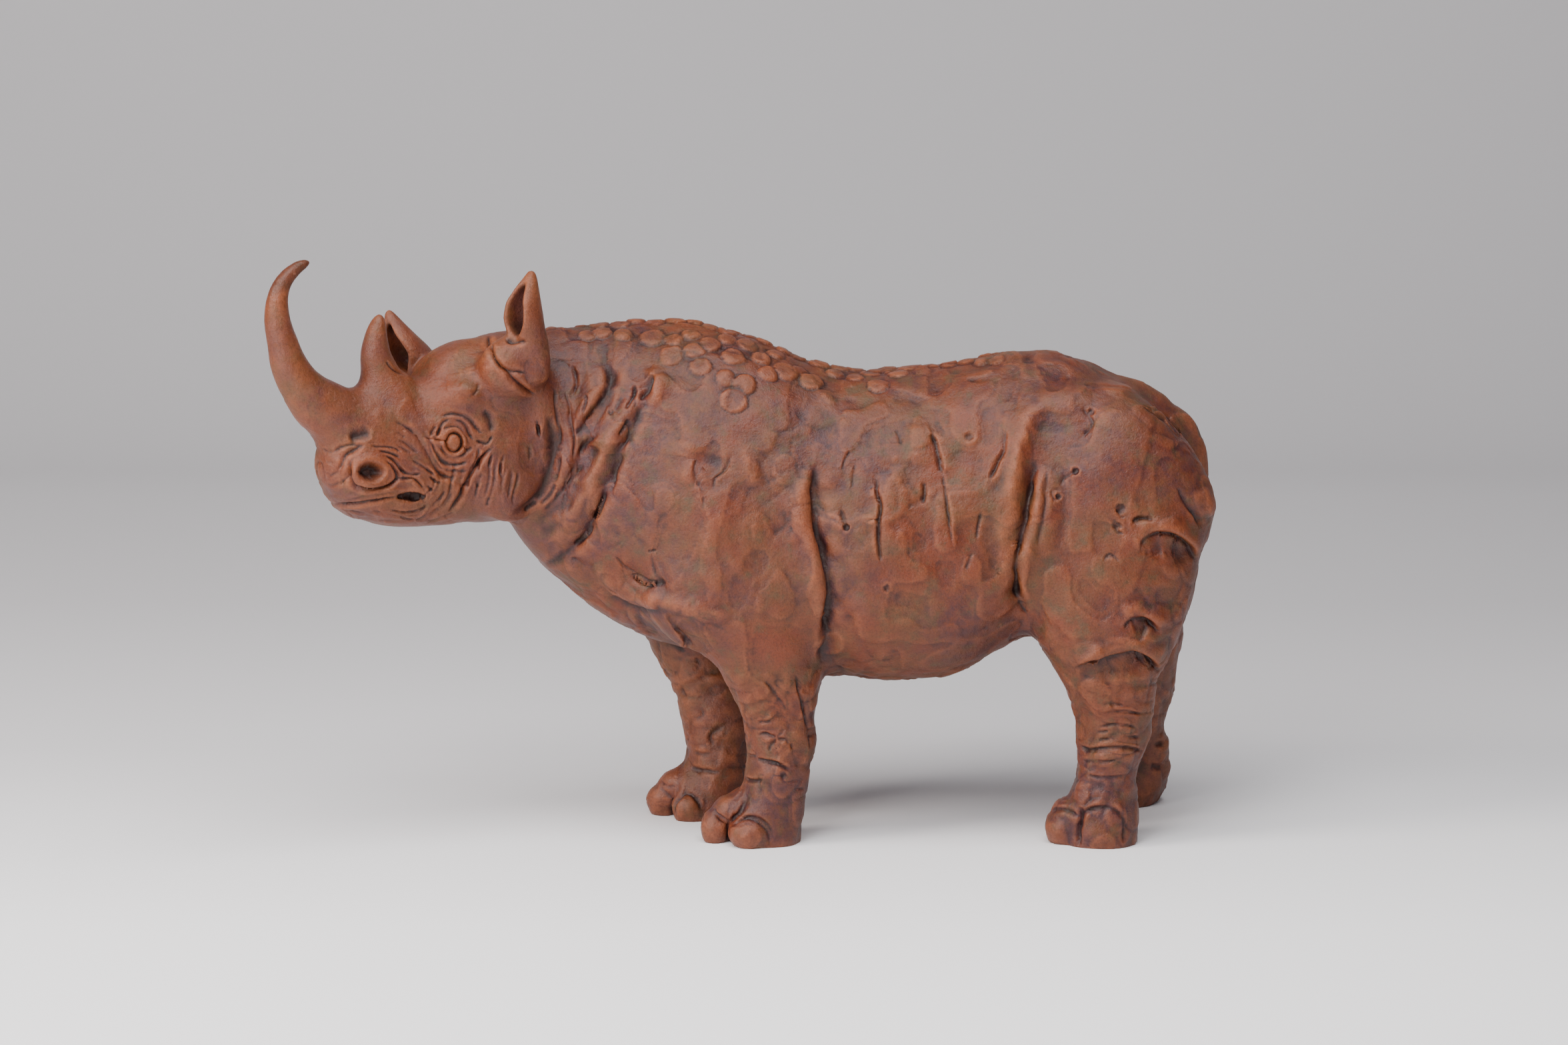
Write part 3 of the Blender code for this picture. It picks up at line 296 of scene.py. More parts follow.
def masses():
    asIs = np.asarray
    inHead = lambda rows: [(s, 0, *row) for s, *row in rows]
    parts = [
        barrel(body["trunk"], 70, 2.0, 2.3, asIs),
        barrel(inHead(head["skull"]), 50, 2.2, 2.3, fromHead),
        tube(inHead(head["frontHorn"]), 60, fromHead),
        tube(inHead(head["rearHorn"]), 30, fromHead),
        tube(body["tail"], 30, asIs),
        rolledEar(head["ear"], *head["nearEar"]),
        rolledEar(head["ear"], *head["offEar"]),
    ]
    still = ((0, 0, 0), (1, 0, 0))
    for side, foreStep, hindStep in ((-1, still, still), (1, body["forelegStep"], body["hindlegStep"])):
        parts += [limb(body["foreleg"], side, foreStep), limb(body["hindleg"], side, hindStep)]
        for toes, step in ((body["foreToes"], foreStep), (body["hindToes"], hindStep)):
            for x, y, z, *radii in toes:
                along, out = stepAt(z, step)
                parts.append(ball((x + along, side * (y + out), z), radii))
        parts += [ball((x, side * y, z), radii) for x, y, z, *radii in body["swellings"]]
    parts += [ball(fromHead((s, left, z)), radii, headPlace["turn"]) for s, left, z, *radii in head["swellings"]]
    points, faces, count = [], [], 0
    for some, polygons in parts:
        points.append(some)
        faces += [[v + count for v in polygon] for polygon in polygons]
        count += len(some)
    return np.vstack(points), faces


# the skin, worked as whole arrays


def evaluated(obj, name):
    mesh = bpy.data.meshes.new_from_object(obj.evaluated_get(bpy.context.evaluated_depsgraph_get()))
    bpy.data.objects.remove(obj)
    mesh.name = name
    return mesh


def inScene(name, mesh):
    obj = bpy.data.objects.new(name, mesh)
    bpy.context.scene.collection.objects.link(obj)
    return obj


def getPoints(mesh):
    values = np.empty(len(mesh.vertices) * 3, np.float32)
    mesh.vertices.foreach_get("co", values)
    return values.reshape(-1, 3).astype(float) / mm


def putPoints(mesh, points):
    mesh.vertices.foreach_set("co", (points * mm).astype(np.float32).ravel())
    mesh.update()


def getNormals(mesh):
    values = np.empty(len(mesh.vertices) * 3, np.float32)
    mesh.vertex_normals.foreach_get("vector", values)
    return values.reshape(-1, 3).astype(float)


def skinOf(mesh):
    edges = np.empty(len(mesh.edges) * 2, np.int32)
    mesh.edges.foreach_get("vertices", edges)
    edges = edges.reshape(-1, 2)
    ends = np.bincount(edges.ravel(), minlength=len(mesh.vertices))
    skin = {"mesh": mesh, "edges": edges, "ends": ends, "points": getPoints(mesh), "normals": getNormals(mesh)}
    squares = ((skin["points"][edges[:, 0]] - skin["points"][edges[:, 1]]) ** 2).sum(1)
    skin["cell"] = beside(skin, squares, squares) / ends / 4  # a quarter of the mean edge, squared
    return skin


def beside(skin, atFirst, atSecond):
    # for each point, the sum over its edges of the value that the other end holds
    a, b = skin["edges"].T
    count = len(skin["ends"])
    return np.bincount(a, atSecond, count) + np.bincount(b, atFirst, count)


def aroundMean(skin, values):
    # the mean of the neighbours' values, for one column or several
    a, b = skin["edges"].T
    if values.ndim == 1:
        return beside(skin, values[a], values[b]) / skin["ends"]
    return np.stack([beside(skin, v[a], v[b]) / skin["ends"] for v in values.T], -1)


def spread(skin, values, area, rounds):
    # each round moves a value towards its neighbours' mean; area is what it spreads over in all
    share = np.minimum(area / skin["cell"] / rounds, 0.7)
    share = share if values.ndim == 1 else share[:, None]
    for _ in range(rounds):
        values = values + share * (aroundMean(skin, values) - values)
    return values


def settle(skin, points):
    skin["points"] = points
    putPoints(skin["mesh"], points)
    skin["normals"] = getNormals(skin["mesh"])


def push(skin, amount):
    settle(skin, skin["points"] + skin["normals"] * amount[:, None])


def relax(skin, rounds, filled, sunk):
    # hollows spread over the area filled, and what stands out over sunk
    fill, sink = (np.minimum(area / skin["cell"] / rounds, 0.7) for area in (filled, sunk))
    for turn in range(rounds):
        move = aroundMean(skin, skin["points"]) - skin["points"]
        hollow = (move * skin["normals"]).sum(1) > 0
        skin["points"] = skin["points"] + move * np.where(hollow, fill, sink)[:, None]
        if turn % 8 == 7:
            settle(skin, skin["points"])
    settle(skin, skin["points"])


def blending(points):
    # most where limbs join, little at toes, ears and horns
    inHead = toHead(points)[:, 0] < headPlace["length"] - 30
    area = np.where(points[:, 2] < 30, 4.5, 84.0)
    area = np.where(inHead, 45, area)
    return np.where(inHead & (points[:, 2] > 318), 7.5, area)


# where a point is seen from the figure's left


def sightLines():
    c, s = math.cos(view["pitch"]), math.sin(view["pitch"])
    return np.array((1, 0, 0)), np.array((0, s, c)), np.array((0, c, -s))


def sighted(points):
    # perspective on the plane through aim: across, up, and the distance past it
    across, up, away = sightLines()
    offset = points - view["aim"]
    far = offset @ away
    scale = view["distance"] / (view["distance"] + far)
    return np.stack([view["aim"][0] + offset @ across * scale, view["aim"][2] + offset @ up * scale, far], -1)


def nearView(skin, offSide):
    # the off side is mirrored on to the near one, with the leg's step taken out, and seen from there
    points, n = skin["points"], skin["normals"]
    measures = toHead(points)
    inHead = measures[:, 0] < headPlace["length"] - 14
    near = np.where(inHead, measures[:, 1] > 0, points[:, 1] < 0)
    mirrored = points * (1, -1, 1)
    steps = [np.stack(stepAt(points[:, 2], body[leg]), -1) for leg in ("forelegStep", "hindlegStep")]
    mirrored[:, :2] -= np.where(points[:, :1] < 120, *steps) * (1, -1)
    mirrored = np.where(inHead[:, None], fromHead(measures * (1, -1, 1)), mirrored)
    c, s = math.cos(headPlace["turn"]), math.sin(headPlace["turn"])
    along, left = n[:, 0] * c + n[:, 1] * s, n[:, 0] * s - n[:, 1] * c
    headMirror = np.stack([along * c - left * s, along * s + left * c, n[:, 2]], -1)
    turned = np.where(near[:, None], n, np.where(inHead[:, None], headMirror, n * (1, -1, 1)))
    facing = ease(-(turned @ sightLines()[2]), 0.05, 0.45)
    return sighted(np.where(near[:, None], points, mirrored)), facing * np.where(near, 1, offSide), inHead


# noise


def scatter(cells, seed):
    # a whole-number hash of each cell, as a value from 0 to 1
    i = cells.astype(np.int64)
    h = (i[..., 0] * 73856093) ^ (i[..., 1] * 19349663) ^ (i[..., 2] * 83492791) ^ (seed * 2654435761)
    h = (h ^ (h >> 13)) * 1274126177 & 0xFFFFFFFF
    return ((h ^ (h >> 16)) & 0xFFFF) / 65535.0


def noise(points, size, seed=0):
    # random values on a lattice of the given cell size, eased between the eight corners: -1 to 1
    p = points / np.asarray(size, float)
    cell = np.floor(p)
    t = p - cell
    t = t * t * (3 - 2 * t)
    total = 0
    for corner in range(8):
        bits = np.array([(corner >> k) & 1 for k in range(3)])
        weight = np.prod(np.where(bits, t, 1 - t), axis=1)
        total = total + weight * scatter(cell + bits, seed)
    return total * 2 - 1


def dabs(points, size, seed=0):
    # one random spot in each cell; the distance to the nearest and the second nearest, in cells
    p = points / np.asarray(size, float)
    cell = np.floor(p)
    near = np.full((2, len(p)), 9.0)
    for shift in np.ndindex(3, 3, 3):
        other = cell + shift - 1
        spot = other + np.stack([scatter(other, seed + k) for k in (1, 2, 3)], -1)
        far = np.linalg.norm(p - spot, axis=1)
        near = np.array([np.minimum(near[0], far), np.minimum(near[1], np.maximum(near[0], far))])
    return near


# folds and wrinkles


def lineGap(spots, line):
    # distance to the nearest stretch of the line, how far along the line that is, and on which side
    a, d = line[:-1], np.diff(line, axis=0)
    t = ((spots[:, None] - a) * d).sum(2) / (d**2).sum(1)
    t = np.clip(t, 0, 1)
    off = spots[:, None] - a - t[..., None] * d
    gap = np.linalg.norm(off, axis=2)
    best = gap.argmin(1)
    pick = np.arange(len(spots)), best
    side = d[best, 0] * off[pick][:, 1] - d[best, 1] * off[pick][:, 0]
    return gap[pick], (best + t[pick]) / len(d), np.sign(side)


def nearFolds(seen, folds):
    # the points beside any of the folds that are finer than a crease
    near = np.zeros(len(seen), bool)
    for (width, *_), line in folds:
        if width < working["crease"]:
            line = flow(line, 5 * len(line))
            reach = 1.6 * width + 1.5
            close = np.flatnonzero(((seen[:, :2] > line.min(0) - reach) & (seen[:, :2] < line.max(0) + reach)).all(1))
            if len(close):
                near[close[lineGap(seen[close, :2], line)[0] < reach]] = True
    return near


def refined(skin, near):
    # halves every edge between two points that are near
    data = bmesh.new()
    data.from_mesh(skin["mesh"])
    data.verts.ensure_lookup_table()
    marked = near.tolist()
    edges = [e for e in data.edges if marked[e.verts[0].index] and marked[e.verts[1].index]]
    bmesh.ops.subdivide_edges(data, edges=edges, cuts=1, use_grid_fill=True)
    data.to_mesh(skin["mesh"])
    data.free()
    return skinOf(skin["mesh"])


def foldPush(seen, fold, sharp):
    # a cut of depth * exp(-off^sharp), off in narrowed widths along a line that wavers, and a low rounded
    # bank on both sides; a lip raises the ground on one side of it (to the left of its way where
    # positive), fading with distance, and makes that wall steeper; broad folds stay soft
    (width, depth, bank, *lip), line = fold
    if width < working["crease"] and depth > 0:
        width = max(width * working["narrowed"], working["finest"])
    else:
        sharp = 2.0
    line = flow(line, 5 * len(line))
    low, high = line.min(0) - 5 * width - 3, line.max(0) + 5 * width + 3
    close = np.flatnonzero(((seen[:, :2] > low) & (seen[:, :2] < high)).all(1))
    result = np.zeros(len(seen))
    if not len(close):
        return result
    flat = np.column_stack([seen[close, :2], np.zeros(len(close))])
    closed = np.allclose(line[0], line[-1])
    waver = 0 if closed else working["waver"] * min(width, 2.5)
    shaken = flat[:, :2] + waver * np.stack([noise(flat, (6, 6, 1), seed) for seed in (21, 22)], -1)
    gap, along, side = lineGap(shaken, line)
    uneven = 1 + (0 if closed else 0.6 if width < working["crease"] else 0.3) * noise(flat, (9, 9, 1), 3)
    ends = 1 if closed else np.sqrt(ease(along, 0, 0.22) * ease(1 - along, 0, 0.22))
    off = gap / (width * (1 if closed else (0.7 + 0.3 * ends) * (1 + 0.3 * noise(flat, (13, 13, 1), 7))))
    raised = side * lip[0] > 0 if lip else False
    steep = off * np.where(raised, 1.3, 0.7) if lip else off
    shape = bank * np.exp(-((off - 1.9) ** 2)) - depth * np.exp(-(steep**sharp))
    if lip:
        shape += abs(lip[0]) * raised * ease(off, 0.2, 1.4) * np.exp(-((gap / (4 * width + 2)) ** 2))
    result[close] = ends * uneven * shape
    return result


def carve(skin, folds, offSide, sharp=2.0, inHeadOnly=False):
    seen, counts, inHead = nearView(skin, offSide)
    if inHeadOnly:
        counts = counts * inHead
    amount = sum(foldPush(seen, fold, sharp) for fold in folds) * counts
    push(skin, amount)


def carveOffLegs(skin):
    # straight along the line of sight, on the inner faces of the off-side legs
    points = skin["points"]
    counts = ease(-(skin["normals"] @ sightLines()[2]), 0.05, 0.4) * (points[:, 1] > 0) * ease(150 - points[:, 2], 0, 20)
    push(skin, sum(foldPush(sighted(points), fold, 1.3) for fold in folds["offLegs"]) * counts)


def family(guide, count, gap, width, depth, seed):
    # lines beside a guide: each is moved square to it, wavers a little and takes only part of its length
    rng = np.random.default_rng(seed)
    guide = flow(guide, 16)
    way = np.gradient(guide, axis=0)
    square = np.stack([-way[:, 1], way[:, 0]], -1) / np.linalg.norm(way, axis=1)[:, None]
    lines = []
    for k in range(count):
        start, stop = sorted(rng.uniform(0, 1, 2))
        if stop - start < 0.35:
            start, stop = rng.uniform(0, 0.3), rng.uniform(0.7, 1)
        wave = rng.uniform(0.3, 0.9) * np.sin(np.linspace(0, rng.uniform(4, 11), 16) + rng.uniform(0, 6))
        line = guide + square * ((k - (count - 1) / 2 + rng.uniform(-0.3, 0.3)) * gap + wave)[:, None]
        at = np.linspace(start, stop, 7) * 15
        line = np.stack([np.interp(at, np.arange(16), line[:, j]) for j in (0, 1)], -1)
        lines.append(((width * rng.uniform(0.8, 1.25), depth * rng.uniform(0.6, 1.3), depth * 0.25), line))
    return lines


folds = {
    # width, depth, height of the two banks, then points across and up as seen from the left
    "body": (
        ((4.6, 4.2, 0, -0.6), (
            (51, 236), (48, 222), (47.5, 210), (49, 197), (52, 183), (55, 170), (57, 156), (58, 142),
            (57, 128), (55, 114), (53, 104),
        )),
        ((9, 2.6, 0), ((60, 226), (58, 205), (60, 185), (64, 168), (67, 152), (68, 138), (66, 122))),
        ((9, -1.2, 0), ((43, 226), (41, 206), (44, 186), (48, 166), (50, 148), (50, 130))),
        ((5.2, 5, 0, 0.4), (
            (189, 236), (186, 222), (182, 203), (178, 186), (176, 168), (177, 152), (182, 138),
        )),
        ((7, -4, 0), (
            (-62, 276), (-70, 263), (-81, 246), (-89, 229), (-99, 213), (-108, 196), (-118, 180),
        )),
        ((4, 3.8, 0), (
            (-54, 282), (-66, 258), (-77, 236), (-84, 216), (-92, 198), (-99, 186), (-108, 177),
            (-121, 168),
        )),
        ((3.8, 2.4, 0), (
            (-79, 276), (-88, 261), (-97, 244), (-105, 225), (-113, 210), (-121, 200), (-132, 190),
        )),
        ((6, -2.2, 0), ((-96, 292), (-92, 272), (-99, 255), (-106, 236), (-114, 216))),
        ((3.8, 3.6, 0), ((-119, 263), (-116, 246), (-118, 230), (-123, 216), (-131, 207), (-144, 199))),
        ((5, -2.2, 0), ((-56, 294), (-51, 281), (-53, 268))),
        ((3.8, 2.2, 0), (
            (-107, 176), (-99, 169), (-87, 157), (-76, 147), (-65, 141), (-52, 140), (-34, 137),
        )),
        ((6, -3.2, 0), (
            (-92, 168), (-80, 158), (-70, 152), (-54, 146), (-36, 142), (-20, 139), (-4, 134),
        )),
        ((3.2, 1.6, 0), ((-65, 139), (-60, 131), (-52, 125), (-38, 120), (-22, 118))),
        ((3.2, 1.4, 0), ((-44, 138), (-38, 130), (-30, 122), (-24, 117), (-16, 106))),
        ((3, 2, 0.1), ((-66, 161), (-57, 157), (-46, 158))),
        ((9, 2.2, 0), ((224, 272), (222, 255), (217, 240), (211, 229))),
        ((6, -2.2, 0), ((252, 178), (257, 188), (265, 192), (276, 191), (287, 184), (295, 174))),
        ((6, -1.6, 0), ((244, 135), (252, 139), (262, 136), (272, 129))),
        ((6, -2.6, 0), (
            (198, 117), (214, 107), (229, 112), (244, 118), (254, 118), (264, 114), (270, 107),
        )),
        ((2.2, 2.4, 0.1), ((-15.3, 11.9), (-11, 7.7), (-6.9, 4.7), (-5.7, -0.7), (-5.7, -8))),
        ((2.2, 2, 0.1), (
            (-4.4, 1.8), (-0.2, 6.8), (5.7, 8.7), (11.5, 7.3), (15.7, 3.5), (19.5, -2), (20, -8),
        )),
        ((3, 1.6, 0.1), ((6.5, 22.8), (2.3, 14.4), (-2.7, 8.5), (-6.9, 4.7))),
    ),
    "head": (
        ((2.6, 2.4, 0.5), (
            (-217.8, 259.7), (-211.9, 257.2), (-206.9, 253), (-202.7, 248.8), (-199.7, 244.6),
            (-196.8, 239.5), (-193.8, 234.5), (-190.9, 229.4), (-187.5, 225.2), (-182.5, 224),
            (-178.3, 224.8),
        )),
        ((2.4, 3, 0.6), (
            (-153.9, 244.1), (-159, 239.5), (-162.3, 235.3), (-165.7, 230.3), (-169.1, 225.2),
            (-171.6, 221), (-174.1, 216.8), (-175.8, 211.4), (-179.1, 206.8), (-183.3, 201.7),
        )),
        ((1.8, 1.6, 0.5), (
            (-187.5, 262.6), (-183.3, 263.9), (-179.1, 263.9), (-174.1, 263), (-169.9, 260.5),
            (-166.5, 256.7), (-164, 253.4), (-161.5, 251.3),
        )),
        ((1.8, 1.8, 0.3), (
            (-165.7, 247.5), (-162.3, 245.8), (-159, 245.4), (-156.9, 247.1), (-155.2, 250.4),
        )),
        ((1.6, 2.6, 0.7), (
            (-184, 248.3), (-182.5, 250.9), (-179.6, 251.9), (-176.2, 250.4), (-174.9, 247.5),
            (-174.9, 243.7), (-177, 241), (-179.6, 240.1), (-182.9, 241.6), (-184.6, 245),
            (-184, 248.3),
        )),
        ((1.8, 2.2, 0.3), ((-200.1, 250), (-193.8, 248.3), (-187.5, 247.5), (-184.2, 246.7))),
        ((1.7, 2, 0.6), (
            (-193.8, 246.2), (-191.7, 240.8), (-189.2, 237), (-186.7, 234.1), (-182.5, 232.4),
            (-178.3, 232), (-174.1, 232.8), (-171.6, 234.5),
        )),
        ((2, 2.8, 0.6), (
            (-241.7, 237), (-244.7, 233.6), (-245.5, 227.8), (-244.7, 222.7), (-242.1, 218.5),
            (-237.9, 217.3), (-231.6, 216.4), (-225.3, 217.3), (-219.5, 219.4), (-215.7, 223.1),
            (-216.5, 227.8), (-219.5, 232), (-223.7, 234.5),
        )),
        ((2.2, 2.6, 0.5), (
            (-235.8, 244.6), (-240, 242.5), (-244.2, 240.4), (-248, 237.8), (-249.7, 234.5),
            (-251, 231.1), (-253.1, 229),
        )),
        ((1.8, 1.6, 0.4), (
            (-256, 239.5), (-252.6, 242), (-248.9, 243.7), (-243, 244.6), (-236.7, 244.1),
        )),
        ((3.4, 2.4, 0.4), ((-246.3, 247.5), (-242.1, 249.6), (-237.9, 251.3), (-232.9, 253.4))),
        ((2, 2.2, 0.4), ((-245.9, 230.3), (-246.8, 225.7), (-248.9, 221.9), (-252.2, 218.9))),
        ((1.8, 1.5, 0.4), (
            (-232.9, 244.1), (-227.4, 243.3), (-222, 243.3), (-216.9, 242), (-212.7, 239.9),
        )),
        ((1.8, 2, 0.6), (
            (-215.7, 222.7), (-211.1, 223.6), (-206, 223.6), (-202.2, 221), (-199.3, 217.3),
        )),
        ((2, 3.2, 0.9), (
            (-256, 208), (-251.4, 207.2), (-245.5, 207.2), (-238.8, 207.6), (-232.9, 208.9),
            (-227, 210.1), (-222, 211), (-216.1, 212.2),
        )),
        ((2.4, 3.5, 0), ((-216.1, 212.2), (-211.5, 212.6), (-206, 211.8), (-201, 210.1))),
        ((1.8, 2, 0.5), (
            (-221.1, 203.8), (-216.1, 202.6), (-210.2, 201.7), (-204.3, 202.1), (-199.3, 203.8),
            (-195.5, 205.5),
        )),
        ((1.8, 1.6, 0.4), ((-264.4, 234.9), (-262.7, 231.1), (-261.9, 226.9), (-261, 222.7))),
        ((3, 1.4, 0.3), ((-160.7, 267.2), (-157.7, 262.2), (-156, 257.2), (-156.5, 252.1))),
        ((2.4, 3.2, 0.6), (
            (-157.7, 313), (-156.9, 308), (-155.6, 302.5), (-153.1, 297.5), (-147.6, 292.9),
            (-141.3, 290.8), (-133.8, 289.9),
        )),
        ((2.8, 3.2, 0.8), (
            (-153.1, 297.5), (-147.6, 292.4), (-141.3, 285.7), (-135, 280.7), (-128.7, 276.5),
        )),
        ((2.2, 1.8, 0.3), ((-146.8, 311.3), (-143, 309.7), (-138, 309.2), (-132.9, 309.7))),
    ),
    "bodyFine": (
        ((2.6, 2.2, 0, -0.3), (
            (48.9, 230.3), (47.7, 214.7), (48.2, 200.3), (50.3, 188.3), (52.5, 181.1),
        )),
        ((2.6, 3, 0, -0.3), (
            (50.3, 189.5), (53.7, 176.3), (56.1, 164.3), (57.8, 154.7), (57.3, 145.1), (55.6, 135.5),
            (54.2, 125.4),
        )),
        ((2, 1.5, 0), ((55.6, 135.5), (56.3, 130.7), (57.8, 125.4))),
        ((2.6, 2.8, 0), ((186.9, 223.1), (184, 211.1), (182.1, 197.9), (179.2, 183.5))),
        ((3, 3, 0), ((180.9, 195.5), (177.8, 178.7), (176.1, 166.7), (176.1, 154.7), (177.8, 146.3))),
        ((2.2, 1.8, 0), ((177.3, 147.5), (180.1, 141.5), (184, 136.7))),
        ((6.5, -4.2, 0), (
            (189.8, 272.3), (185.7, 262.7), (180.1, 249.5), (175.3, 233.9), (174.1, 214.7),
            (173.2, 195.5), (172.5, 178.7), (172.5, 166.7), (174.1, 152.3),
        )),
        ((4, -1.3, 0), (
            (192.9, 231.5), (191.2, 214.7), (188.8, 195.5), (185.7, 176.3), (183.3, 164.3),
        )),
        ((2.6, 1.6, 0), ((196, 229.1), (195, 212.3), (192.1, 193.1), (189.3, 176.3))),
        ((5.5, -1.8, 0), ((200.1, 231.5), (198.9, 209.9), (196.9, 190.7), (194.1, 171.5))),
        ((1.6, 1.2, 0.2, -0.5), ((99.3, 254.3), (102.2, 249.5), (103.8, 243.5))),
        ((2.2, 2.4, 0.2, 1), (
            (122.1, 251.9), (125.2, 245.9), (127.6, 237.5), (128.8, 230.3), (129.5, 226.7),
        )),
        ((7, -1.5, 0), ((116.8, 257.9), (114.9, 245.9), (115.3, 231.5))),
        ((1.8, 2, 0.2), ((117.8, 221.4), (118.2, 214.7), (117.3, 207))),
        ((1.5, 1.3, 0.2, 0.5), (
            (129.8, 226.7), (131.4, 214.7), (132.9, 202.7), (134.8, 190.7), (136.5, 179.9),
        )),
        ((1.8, 1.8, 0.2, -0.9), (
            (88.5, 223.1), (88, 213.5), (90.6, 205.1), (89.2, 195.5), (88.9, 184.7), (89.7, 176.3),
            (90.9, 170.3),
        )),
        ((4.6, -1, 0), ((84.9, 217.1), (85.6, 209.9))),
        ((4.6, -1, 0), ((86.1, 200.3), (85.6, 193.1))),
        ((1.4, 1.2, 0.2, -0.4), ((71.7, 242.3), (68.1, 235.1), (65.7, 227.9))),
        ((1.4, 1, 0.2, -0.4), ((74.5, 232.7), (72.9, 224.3), (72.2, 216.6))),
        ((1.8, 1.5, 0.2, -0.6), ((65.7, 203.9), (66.9, 197.9), (69.8, 192.1))),
        ((5, -1.3, 0), ((58.5, 212.3), (60.2, 200.3), (62.6, 189.5))),
        ((1.5, 1.4, 0.2), ((154, 202.7), (152.1, 193.1), (150.9, 184.7))),
        ((1.3, 1.1, 0.2), ((148.5, 176.3), (146.1, 170.3), (144.4, 165.5))),
        ((2.2, 1.6, 0.2, 1), (
            (169.1, 254.3), (169.3, 245.9), (167.7, 238.7), (164.8, 232.7), (161.9, 226.7),
            (158.6, 223.1),
        )),
        ((9, -1.2, 0), ((76.5, 236.3), (77.7, 212.3), (80.1, 188.3))),
        ((9, -1.2, 0), ((99.3, 231.5), (100.5, 205.1), (102.9, 176.3))),
        ((9, -1, 0), ((141.3, 236.3), (142.5, 212.3), (138.9, 188.3))),
        ((1.6, 0.9, 0.1, -0.9), ((-26, 236.3), (-27.7, 227.9), (-25.3, 220.7), (-22.4, 215.9))),
        ((1.4, 0.7, 0.1), ((-21.5, 212.3), (-21.9, 204.6))),
        ((8, -1.8, 0), ((-31.5, 248.3), (-31.5, 233.9), (-29.1, 219.5))),
        ((7, -1.5, 0), ((6.9, 245.9), (8.1, 231.5), (9.8, 217.1))),
        ((1.5, 0.8, 0.1, 0.5), (
            (-3.7, 238.7), (-6.3, 231.5), (-9.9, 226.7), (-14.2, 223.1), (-15.2, 215.9),
        )),
        ((10, 1.6, 0), ((-12.3, 238.7), (-15.9, 226.7), (-12.3, 214.7))),
        ((9, 2, 0), ((-72.3, 169.1), (-62.7, 160.7), (-53.1, 157.1), (-41.1, 157.1))),
        ((2.6, 0.8, 0), ((-69.9, 163.1), (-63.9, 159.5), (-56.7, 157.1), (-49.5, 156.6))),
        ((2.2, 1.8, 0.2, -0.6), (
            (-45.9, 137.9), (-41.1, 130.7), (-35.1, 125.4), (-31.5, 119.9), (-25.5, 113.9),
        )),
        ((2.6, 3.4, 0, 1.4), (
            (255, 175.8), (256.5, 183), (261.8, 187.3), (270.9, 188.3), (280, 184.9), (287.2, 178.7),
            (291, 168.6),
        )),
        ((7, 3.2, 0), ((260.8, 178.2), (269.7, 181.1), (279.3, 177.7), (286.7, 171.5))),
        ((1.3, 0.8, 0.1), ((257.7, 175.8), (264.9, 177.7))),
        ((1.3, 0.8, 0.1), ((258.9, 173.4), (268.5, 176.3), (273.8, 175.3))),
        ((2.6, 2.8, 0, 1), (
            (244.9, 127.3), (247.3, 132.1), (252.9, 134.5), (258.9, 133.1), (264.1, 128.8),
            (268, 125.4),
        )),
        ((6, 2.4, 0), ((249.8, 128.8), (255.3, 130.2), (261.3, 126.8))),
        ((2.4, 2.4, 0.2), ((249.8, 195), (253.6, 197.4), (258.9, 197.9), (263.2, 196.9))),
        ((2.6, 2.6, 0, -1), (
            (278.1, 217.6), (281.7, 211.1), (285.8, 205.1), (290.1, 200.3), (292.9, 191.9),
        )),
        ((6, -2.4, 0), ((292.9, 218.3), (296.3, 208.7), (298.2, 197.9))),
        ((1.4, 1.1, 0.3), ((244.5, 205.6), (241.3, 202.7), (243.3, 199.1), (246.4, 200.3))),
        ((1.4, 1.1, 0.3), ((240.1, 197.4), (237.8, 193.6), (240.6, 189.7), (244.5, 188.3))),
        ((1.5, 1.3, 0.2), ((231.3, 170.3), (234.9, 175.1), (237.8, 173.9), (241.6, 170.3))),
        ((1.6, 1.4, 0.2, 0.3), ((217.6, 230.3), (212.1, 226.7), (206.6, 223.1), (204.9, 218.3))),
        ((2.2, 1.8, 0.2, 0.5), ((218.1, 267.5), (224.1, 260.3), (222.9, 254.3), (218.6, 249.5))),
        ((1.5, 1.2, 0.3), (
            (204.6, 215.2), (201.8, 216.6), (198.9, 214.2), (200.3, 210.4), (203.7, 210.4),
        )),
        ((2, 1.6, 0.2, 0.6), ((256.5, 269.9), (266.1, 263.9), (274.5, 257.9), (281.7, 248.3))),
        ((1.8, 1.4, 0.2, 0.4), ((281.7, 118.7), (283.3, 128.3), (285.8, 134.3))),
        ((2.8, 3.4, 0, 1.4), (
            (212.1, 102.8), (220.5, 105.7), (230.1, 107.6), (239.7, 110), (249.3, 111.5),
            (257.7, 109.6), (263.2, 105.7), (266.6, 100.4),
        )),
        ((7, 2.8, 0), ((215.7, 98.5), (230.1, 102.4), (246.9, 104.8), (258.9, 102.4))),
        ((1.5, 1.1, 0.2), ((230.1, 80.3), (237.3, 81), (244.5, 79.6))),
        ((1.5, 1, 0.2), ((233.7, 75), (244.5, 76.2), (256.5, 74))),
        ((1.6, 1.2, 0.2), ((228.9, 66.6), (239.7, 67.8), (251.7, 66.6))),
        ((1.5, 1.1, 0.2), ((227.2, 63), (234.9, 63.5))),
        ((1.5, 1.1, 0.2), ((228.9, 58), (235.8, 58.7))),
        ((1.5, 1, 0.2), ((244.5, 60.6), (254.1, 59.9))),
        ((2, 1.8, 0.3, 0.6), ((215.2, 54.8), (222.9, 52), (233.7, 52.9), (246.9, 53.4), (257.7, 50.5))),
        ((1.6, 1, 0.2, 0.4), ((217.6, 45.5), (227.7, 44.3), (239.7, 45.7))),
        ((1.6, 1.1, 0.2, 0.4), ((220, 35.9), (234.9, 34.2), (246.9, 36.1))),
